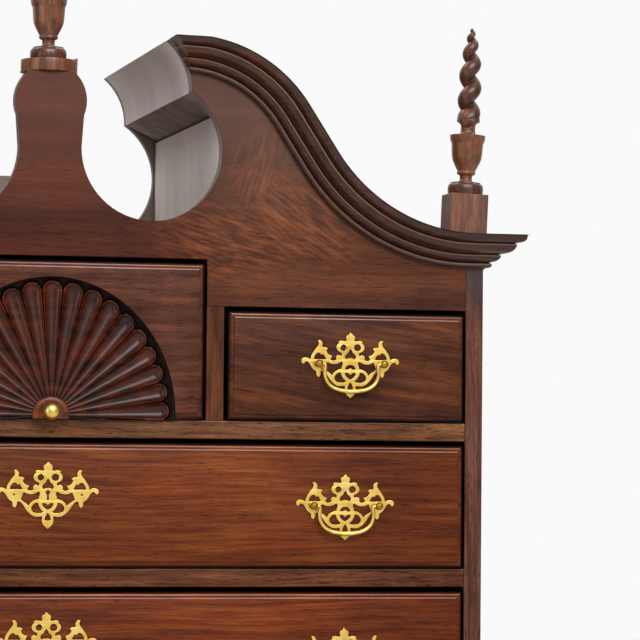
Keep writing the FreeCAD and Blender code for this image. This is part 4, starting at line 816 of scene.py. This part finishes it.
def carve_fan(name, aside, reach, rise, petals=19):
    """The drawer's front with a pocket cut in it, and the fan's carved surface set in the pocket."""
    low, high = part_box(name)
    face = face_of(name)
    # the fan is struck this high above the front's edge; the pocket is wider than the petals, and the
    # carving laps its rim
    struck, wider, higher, lap = 0.0042, 0.007, 0.004, 0.0002
    foot = Vector(((low.x + high.x) / 2 + aside, face, low.z + struck))
    cutter = bmesh.new()
    bmesh.ops.create_cone(cutter, cap_ends=True, segments=160, radius1=1, radius2=1, depth=1)
    squash = Matrix.Diagonal((reach + wider, 0.0140, rise + higher, 1)) @ toward_front
    bmesh.ops.transform(cutter, verts=cutter.verts, matrix=Matrix.Translation(foot) @ squash)
    bmesh.ops.recalc_face_normals(cutter, faces=cutter.faces)
    meshes = []
    for part, title in ((cutter, "fan_pocket"), (moulded_front(low, high, face), "fan_board")):
        meshes.append(bpy.data.meshes.new(title))
        part.to_mesh(meshes[-1])
        part.free()
    tool, board = (bpy.data.objects.new(mesh.name, mesh) for mesh in meshes)
    scene.collection.objects.link(tool)
    pocket = board.modifiers.new("pocket", "BOOLEAN")
    pocket.operation, pocket.solver, pocket.object = "DIFFERENCE", "EXACT", tool
    front = as_bmesh(board)
    bpy.data.objects.remove(tool)
    for mesh in meshes:
        bpy.data.meshes.remove(mesh)

    start, spacing = math.radians(2.6), math.radians(174.8) / (petals - 1)
    half_angle = spacing / 2
    angles = [start - half_angle - 0.06, start - half_angle - 0.03]
    for petal in range(petals):
        angles += [start + petal * spacing + share * half_angle for share in COLUMNS]
    angles += [start + (petals - 0.5) * spacing + extra for extra in (0, 0.03, 0.06)]
    # the petals start this far from the foot, under the boss; rows of the surface along a petal and beyond it
    inner, petal_rows, ground_rows = 0.016, 52, 12
    # the deepest that a hollow and a groove go, the crest's share of a petal's half width, the length over
    # which a groove runs out, and the round along the front's lower edge
    hollow_deep, groove_deep, crest, run_out_long, edge_round = 0.0064, 0.0050, 0.09, 0.010, 0.0025
    surface = bmesh.new()
    carved = surface.verts.layers.float.new("carved")
    front.verts.layers.float.new("carved")
    columns, rows = len(angles) - 1, petal_rows + ground_rows
    bmesh.ops.create_grid(surface, x_segments=columns, y_segments=rows, size=1)
    slope = math.tan(half_angle)
    for side in surface.faces:
        side.material_index = 3 if (side.calc_center_median().y + 1) / 2 * rows > petal_rows else 2

    def ground_depth(from_rim):
        """How deep the ground round the petals is gouged, this far inside the pocket's rim: up to 5 mm."""
        return 0.00005 + 0.0052 * (1 - math.exp(-max(from_rim, 0) / 0.0035))

    for corner in surface.verts:
        angle = angles[round((corner.co.x + 1) / 2 * columns)]
        row = round((corner.co.y + 1) / 2 * rows)
        number = min(max(round((angle - start) / spacing), 0), petals - 1)
        off = angle - start - number * spacing
        outside = abs(off) > half_angle * 1.001
        edge = 1 / math.hypot(math.cos(angle) / reach, math.sin(angle) / rise)
        rim = 1 / math.hypot(math.cos(angle) / (reach + wider + lap), math.sin(angle) / (rise + higher + lap))
        middle = edge / (1 + slope)
        round_off = middle * slope
        end = middle * math.cos(off) + math.sqrt(max(round_off ** 2 - (middle * math.sin(off)) ** 2, 0))
        if row <= petal_rows:
            share = row / petal_rows
            radius = inner + (end - inner) * (1 - (1 - share) ** 1.5)
            lengthwise, sideways = radius * math.cos(off), radius * math.sin(off)
            if lengthwise < middle:
                depth_in = 1 - abs(sideways) / (lengthwise * slope)
            else:
                depth_in = 1 - math.hypot(lengthwise - middle, sideways) / round_off
            depth_in = max(depth_in, 0)
            width = min(lengthwise, middle) * slope
            hollow = min(hollow_deep, 0.58 * width)
            run_out = min(max((lengthwise - middle + run_out_long) / run_out_long, 0), 1)
            groove = min(groove_deep, 0.45 * width) * (1 - run_out) + ground_depth(rim - end) * run_out
            if outside:
                depth, corner[carved] = 0.6 * groove, 0.3
            elif depth_in < crest:
                depth = 0.0002 + groove * (1 - depth_in / crest) ** 1.15
                corner[carved] = (depth_in / crest) ** 2
            else:
                inward = (depth_in - crest) / (1 - crest)
                depth = 0.0002 + hollow * (1 - (1 - inward) ** 2.5)
                corner[carved] = 1 - 0.55 * min(inward / 0.12, 1) ** 0.6
        else:
            share = (row - petal_rows) / ground_rows
            radius = end + (rim - end) * share
            depth = ground_depth(rim - radius)
            corner[carved] = share
        above_edge = radius * math.sin(angle) + struck
        if 0 < above_edge < edge_round:
            depth = max(depth, edge_round - math.sqrt(edge_round ** 2 - (edge_round - above_edge) ** 2))
        corner.co = foot + Vector((radius * math.cos(angle), depth, radius * math.sin(angle)))

    def saw_below(bm, height):
        """Cuts away what is below this height."""
        bmesh.ops.bisect_plane(bm, geom=bm.verts[:] + bm.edges[:] + bm.faces[:], dist=0.000001,
                               plane_co=(0, 0, height), plane_no=(0, 0, -1), clear_outer=True)

    saw_below(surface, low.z + 0.0001)
    hem = [e for e in surface.edges if e.is_boundary and all(v.co.z < low.z + 0.0002 for v in e.verts)]
    grown = bmesh.ops.extrude_edge_only(surface, edges=hem)["geom"]
    for corner in only(grown, bmesh.types.BMVert):
        corner.co.y = face + 0.0055
    bmesh.ops.recalc_face_normals(surface, faces=surface.faces)
    if sum(f.normal.y for f in surface.faces) > 0:
        bmesh.ops.reverse_faces(surface, faces=surface.faces)
    boss = turn_on_lathe(smooth_line(BOSS, 3), 72)
    bmesh.ops.transform(boss, verts=boss.verts, matrix=Matrix.Translation(foot) @ toward_front)
    saw_below(boss, low.z)
    bmesh.ops.holes_fill(boss, edges=[e for e in boss.edges if e.is_boundary])
    shine = boss.verts.layers.float.new("carved")
    for corner in boss.verts:
        corner[shine] = 0.8
    for side in boss.faces:
        side.material_index = 2
    for carving in (surface, boss):
        put_copy(front, carving, Matrix.Identity(4))
        carving.free()
    return front


fan_board = walnut("shellacked_walnut_fan_boards", "X", "#46251a", "#613929", "#774833", band=0.008,
                   figure=0.25, patches=0.5, clouds_wide=0.035)
shade_thumbnail_recess(fan_board)
fan_carving = walnut("carved_dark_walnut_fan", "X", "#a0806e", "#d0b4a4", "#f8dcc8", band=0.008,
                     roughness=0.3, gloss=0.3, coat=0.07, patches=0.3, clouds_wide=0.02)
fan_ground = walnut("gouged_walnut_ground", "X", "#1b120e", "#231814", "#2c221b", roughness=0.6, gloss=0.04)
# the carving was left darker than the board: its hollows are deep brown, and the V cuts are painted nearly
# black, a painted shade. The rims, which a hand or a cloth reaches, are rubbed back to orange-brown, partly
# wear and partly a painted highlight. The ground keeps the gouge's dull surface, painted blackest against the
# petals as painted shade. The attribute "carved" is 0 in a V cut, 0.45 in a hollow and 1 on a rim; over the
# ground it runs from 0 at the petals to 1 at the pocket's edge.
for material, tones in ((fan_carving, [(0.0, "#0a0503"), (0.3, "#26140d"), (0.5, "#70402a"),
                                       (0.8, "#a07254"), (1.0, "#cc9e7c")]),
                        (fan_ground, [(0.1, "#201814"), (0.8, "#ffffff")])):
    lighter_tone = add_node(material.node_tree, "ShaderNodeAttribute", {"attribute_name": "carved"}).outputs["Fac"]
    stain_along(material, lighter_tone, tones)
# the old stain has worn away unevenly, in lighter and darker red-brown patches some 20 mm across
tree = fan_carving.node_tree
place = add_node(tree, "ShaderNodeTexCoord").outputs["Object"]
lighter_tone = add_node(tree, "ShaderNodeTexNoise", Vector=place, Scale=50.0, Detail=2.0).outputs["Fac"]
stain_along(fan_carving, lighter_tone, [(0.36, "#a48674"), (0.5, "#dcb89c"), (0.62, "#ffcca8")])
for name, sizes in FANS.items():
    fan = finish_piece(carve_fan(name, *sizes), name + "_front", fan_board, [name], body=name,
                       sharp=22)
    for material in (small_arris_highlight, fan_carving, fan_ground):
        fan.data.materials.append(material)

# ------------------------------------------------------------------ brasses
# Cast back plates, sawn and filed through, in scrolls about a heart; two posts with ball heads run
# through each, and a bail swings between them. The drawers without pulls have turned knobs.
PLATE_EDGE = [
    (0, 35.8), (3.2, 32.4), (3.7, 32.8), (4.8, 31.8), (5.2, 29.6), (4.6, 27.6), (4.7, 26.1), (6.9, 25.9),
    (10.1, 26.4), (12.6, 26.2), (14.2, 25.2), (13.7, 23.4), (15.7, 21.6), (16.5, 19.3), (15.9, 16.6),
    (14.2, 14.4), (12, 13.3), (10.3, 12.5), (10, 10.8), (10.8, 9), (12.3, 9.8), (14.4, 10), (16.2, 9),
    (16.9, 7.1), (16.3, 5.1), (18.6, 3.7), (21.4, 3.8), (23.4, 4.9), (22.6, 6.6), (21.3, 9.2),
    (23.3, 9.5), (25.6, 10.7), (27.3, 12.6), (28.4, 15.3), (26.2, 17), (28.3, 18.4), (30.6, 18.9),
    (32.1, 18.6), (33, 20.4), (32.8, 22.7), (33.6, 24.8), (35.8, 26.7), (38.5, 26.4), (37.7, 24.8),
    (37.3, 22.7), (38.6, 19.7), (41, 16.8), (43.3, 13.4), (45.4, 10.1), (46.5, 6.7), (46.9, 4.6),
    (48.7, 5.9), (51.3, 6.7), (54.2, 6.6), (56.3, 5.5), (57.4, 3.4), (57.1, 1.3), (55.5, -0.3),
    (53.8, 0.4), (52.8, 2.1), (51.3, 2.3), (49.2, 1.3), (47.7, -0.4), (46.2, -2.9), (44.1, -5.9),
    (41.2, -8.2), (39.9, -9.4), (39.9, -11.8), (39, -14.2), (37.2, -15.4), (35.5, -13.7), (34.7, -11.2),
    (34.4, -9.2), (33.2, -8.1), (31.5, -8.9), (30, -10), (27, -13.6), (24.6, -17.2), (21.6, -20.7),
    (18.2, -23.5), (14.5, -25.2), (10.1, -25.3), (6.5, -24.9), (6.3, -27.4), (6.6, -29.9), (5.9, -32.6),
    (5, -34.4), (3.4, -36), (1.6, -37.6), (0, -38.9)]
# the right halves of the openings on the plate's middle line: a spade, a crescent or a keyhole, a heart
# and a small arch
SPADE = [(0, 17.2), (1.6, 15), (2.7, 12.8), (4.4, 11.4), (6, 9.8), (6.4, 7.8), (5.6, 5.9), (4.4, 5.2),
         (3.4, 6.3), (2.1, 6), (1.3, 6.8), (0, 6)]
CRESCENT = [(0, -1.1), (2.7, -1.5), (4.9, -3.3), (6.2, -6.2), (4.6, -6.5), (2.4, -6.2), (0.9, -5.4),
            (0, -5)]
HEART = [(0, -12.9), (1.3, -11.3), (3.4, -10.2), (6.3, -10.3), (6, -12.3), (4.3, -14.9), (2.1, -16.6),
         (0, -17.5)]
ARCH = [(0, -21), (1.4, -22.8), (2.6, -25.4), (3.2, -27.6), (3.4, -29.3), (0, -29.8)]
KEYHOLE = [(0, 4.2), (1.6, 3.6), (2.4, 2), (2.1, 0.4), (1.1, -0.6), (1.5, -6.6), (0, -6.9)]


def round_hole(x, z, radius, knots):
    """A round opening's knots, about its middle."""
    turns = [2 * math.pi * number / knots for number in range(knots)]
    return [(x + radius * math.cos(turn), z + radius * math.sin(turn)) for turn in turns]


# openings in the right half, each with its mirror image on the left
SIDE_HOLES = [
    round_hole(8.2, 18.6, 4.0, 12),
    [(28.6, 5.2), (30.2, 8.2), (31.9, 10.8), (33.6, 10), (34.9, 10.8), (36.1, 12.2), (38.2, 12.4),
     (40.4, 10.8), (42.2, 7.8), (42.9, 5), (40.3, 5), (36.1, 5), (31.9, 4.8)],
    [(10.6, 2.6), (12.4, 1.6), (15.1, 0.3), (18.9, -0.4), (22.7, 0), (26.1, 1.4), (27.4, 1.9),
     (28.6, -1.1), (29.6, -4), (30.4, -6.2), (26.6, -9), (23.6, -11), (21.4, -13.2), (19.7, -10.3),
     (16.8, -7.9), (13, -6.2), (10.3, -5.8), (10.2, -3.8), (9.5, -1.7), (9, 0), (9.2, 1.7)],
    [(11.2, -9.8), (13.9, -10.1), (16.4, -11.9), (18.3, -14.6), (18.4, -17.2), (16.8, -19.7),
     (13.9, -21.1), (10.1, -21.4), (7, -21), (4.6, -19.9), (6.9, -18.1), (9.1, -15.3), (10.5, -12.4)],
]
PIN_HOLE = round_hole(38.1, -1, 1.1, 8)
PLATE_THICK = 0.0016


def whole(half):
    """A closed outline from its right half."""
    return half + [(-x, z) for x, z in reversed(half) if x > 0]


def pierced_plate(keyhole=False):
    """The plate as a filled flat curve, 1.6 mm thick with filed edges, stood up with its back on Y = 0."""
    beside = SIDE_HOLES + [PIN_HOLE] * keyhole
    lines = [whole(half) for half in (PLATE_EDGE, SPADE, KEYHOLE if keyhole else CRESCENT, HEART, ARCH)]
    lines += beside + [[(-x, z) for x, z in reversed(hole)] for hole in beside]
    sheet = bpy.data.curves.new("plate", "CURVE")
    sheet.dimensions, sheet.fill_mode = "2D", "BOTH"
    sheet.extrude, sheet.bevel_depth, sheet.offset, sheet.resolution_u = 0.0005, 0.0003, -0.0003, 3
    for points in lines:
        spline = sheet.splines.new("BEZIER")
        spline.bezier_points.add(len(points) - 1)
        spline.use_cyclic_u = True
        for index, knot in enumerate(spline.bezier_points):
            here = Vector(points[index])
            arrive = here - Vector(points[index - 1])
            leave = Vector(points[(index + 1) % len(points)]) - here
            knot.co = (here.x / 1000, here.y / 1000, 0)
            pointed = arrive.angle(leave, 0) > math.radians(50)
            knot.handle_left_type = knot.handle_right_type = "VECTOR" if pointed else "AUTO"
    bm = as_bmesh(bpy.data.objects.new("plate", sheet))
    bmesh.ops.remove_doubles(bm, verts=bm.verts, dist=0.000001)
    on_front = Matrix.Translation((0, -PLATE_THICK / 2, 0)) @ toward_front
    bmesh.ops.transform(bm, verts=bm.verts, matrix=on_front)
    return bm


def cast_brass(name, dark, middle, light, metal=1.0):
    """Rubbed cast brass: slow changes of tone 12 mm across, and file marks drawn 0.6 to 1.1 mm wide. Real
    ones are finer, and would not show."""
    brass = bpy.data.materials.new(name)
    brass.use_nodes = True
    tree = brass.node_tree
    shader = tree.nodes["Principled BSDF"].inputs
    place = add_node(tree, "ShaderNodeTexCoord").outputs["Object"]
    tone = add_node(tree, "ShaderNodeTexNoise", Vector=place, Scale=85.0, Detail=2.0).outputs["Fac"]
    colour = add_node(tree, "ShaderNodeValToRGB", Fac=tone,
                      stops=[(0.3, dark), (0.55, middle), (0.75, light)]).outputs["Color"]
    tree.links.new(colour, shader["Base Color"])
    marks = add_node(tree, "ShaderNodeMapping", Vector=place, Scale=(900, 900, 1700)).outputs["Vector"]
    marks = add_node(tree, "ShaderNodeTexNoise", Vector=marks, Scale=1.0, Detail=2.0).outputs["Fac"]
    gloss = add_node(tree, "ShaderNodeMapRange", Value=marks, To_Min=0.26, To_Max=0.42).outputs["Result"]
    tree.links.new(gloss, shader["Roughness"])
    filed = add_node(tree, "ShaderNodeBump", Height=marks, Strength=0.15, Distance=0.0002).outputs["Normal"]
    tree.links.new(filed, shader["Normal"])
    shader["Metallic"].default_value = metal
    return brass


brass = cast_brass("satin_cast_brass", "#dcb352", "#eac76b", "#f2d783")
# painted shade: the posts' heads are darker, for the dark they reflect, and a black sheet fills each keyhole
post_shade_brass = cast_brass("turned_post_brass_painted_shade", "#8f6d26", "#a88434", "#c2a050")
keyhole_shade = cast_brass("black_keyhole_painted_shade", "#0c0a09", "#14100e", "#1c1815", metal=0.0)
plate, escutcheon = pierced_plate(), pierced_plate(keyhole=True)
# the keyhole's black sheet, just in front of the wood: painted shade
keyhole_shade_sheet = bmesh.new()
keyhole_shade_sheet.faces.new([keyhole_shade_sheet.verts.new((x / 1000, -0.0002, z / 1000)) for x, z in dict.fromkeys(whole(KEYHOLE))])
keyhole_shade_sheet.faces.ensure_lookup_table()
keyhole_shade_sheet.faces[0].normal_update()
if keyhole_shade_sheet.faces[0].normal.y > 0:
    bmesh.ops.reverse_faces(keyhole_shade_sheet, faces=keyhole_shade_sheet.faces)
keyhole_shade_sheet.faces[0].material_index = 2
POST = [(0, 11.4), (1.2, 11.3), (1.7, 10.9), (1.7, 10.9), (2.6, 10.7), (4.1, 9.1), (4.6, 7), (4.1, 4.9),
        (2.9, 3.5), (2.9, 3.5), (2.6, 2.4), (3.1, 1.3), (4.1, 0.8), (4.1, 0.8), (4.1, 0), (4.1, 0), (0, 0)]
post = turn_on_lathe(smooth_line(POST, 3), 24)
for side in post.faces:
    side.material_index = 1
# half the bail from its pin to the middle of the bow: across, down and the bar's radius (mm)
BAIL = [(39, 0, 1.6), (34.4, 0, 1.6), (31.7, -0.9, 1.8), (31, -4.4, 2), (31.7, -9.7, 2), (30.3, -17.4, 2),
        (26.1, -23.9, 2.1), (18.6, -28.6, 2.2), (9.2, -30.8, 2.4), (0, -31.4, 2.7)]
bail_line = BAIL + [(-x, z, radius) for x, z, radius in reversed(BAIL[:-1])]
rod = bpy.data.curves.new("bail", "CURVE")
rod.dimensions, rod.bevel_depth, rod.bevel_resolution = "3D", 0.001, 4
rod.resolution_u, rod.use_fill_caps = 6, True
spline = rod.splines.new("BEZIER")
spline.bezier_points.add(len(bail_line) - 1)
for knot, (x, z, radius) in zip(spline.bezier_points, bail_line):
    knot.co, knot.radius = (x / 1000, 0, z / 1000), radius
    knot.handle_left_type = knot.handle_right_type = "AUTO"
bail = as_bmesh(bpy.data.objects.new("bail", rod))
bmesh.ops.remove_doubles(bail, verts=bail.verts, dist=0.000001)
# half the distance of a bail's posts, how far its pins stand out from the drawer's face, and how far the
# plate with the keyhole hangs below the drawer's upper edge
POST_X, PIN_OUT, KEYHOLE_DROP = 0.0381, 0.0086, 0.059

for name in drawer_names:
    if name in FANS:
        continue
    low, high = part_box(name)
    face = face_of(name)
    z = (low.z + high.z) / 2 + (0.0034 if name.startswith("small") else 0.0006)
    bails = [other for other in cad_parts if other.startswith(name) and other.endswith("bail")]
    brasses = bmesh.new()
    for other in bails:
        x = (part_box(other)[0].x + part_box(other)[1].x) / 2
        put_copy(brasses, plate, Matrix.Translation((x, face, z)))
        for side in (POST_X, -POST_X):
            put_copy(brasses, post, Matrix.Translation((x + side, face - PLATE_THICK, z)) @ toward_front)
        hung = bmesh.new()
        put_copy(hung, bail, Matrix.Translation((x, face - PIN_OUT, z)))
        finish_piece(hung, other + "_bow", brass, [other], body=other, sharp=60)
    if len(bails) == 2:
        for part in (escutcheon, keyhole_shade_sheet):
            put_copy(brasses, part, Matrix.Translation((0, face, high.z - KEYHOLE_DROP)))
    pulls = finish_piece(brasses, name + "_plates", brass, [name + "_brasses"], body=name,
                         sharp=25)
    pulls.data.materials.append(post_shade_brass)
    pulls.data.materials.append(keyhole_shade)

KNOB = [(0, 28), (3, 27.6), (6.6, 25.6), (8.9, 22), (9.5, 18.5), (8.9, 15), (7.2, 12.3), (5, 10.6),
        (5, 10.6), (4, 9.4), (3.8, 6), (4.6, 2.6), (6.8, 1.2), (6.8, 1.2), (6.8, 0), (6.8, 0), (0, 0)]
knob = turn_on_lathe(smooth_line(KNOB, 3), 40)
for name in FANS:
    turned = bmesh.new()
    # its shank is let 2 mm into the boss, 8.2 mm above the drawer's lower edge
    seat = (0, face_of(name) - 0.002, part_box(name)[0].z + 0.0082)
    put_copy(turned, knob, Matrix.Translation(seat) @ toward_front)
    finish_piece(turned, name + "_turned_knob", brass, [name + "_knob"], body=name, sharp=40)
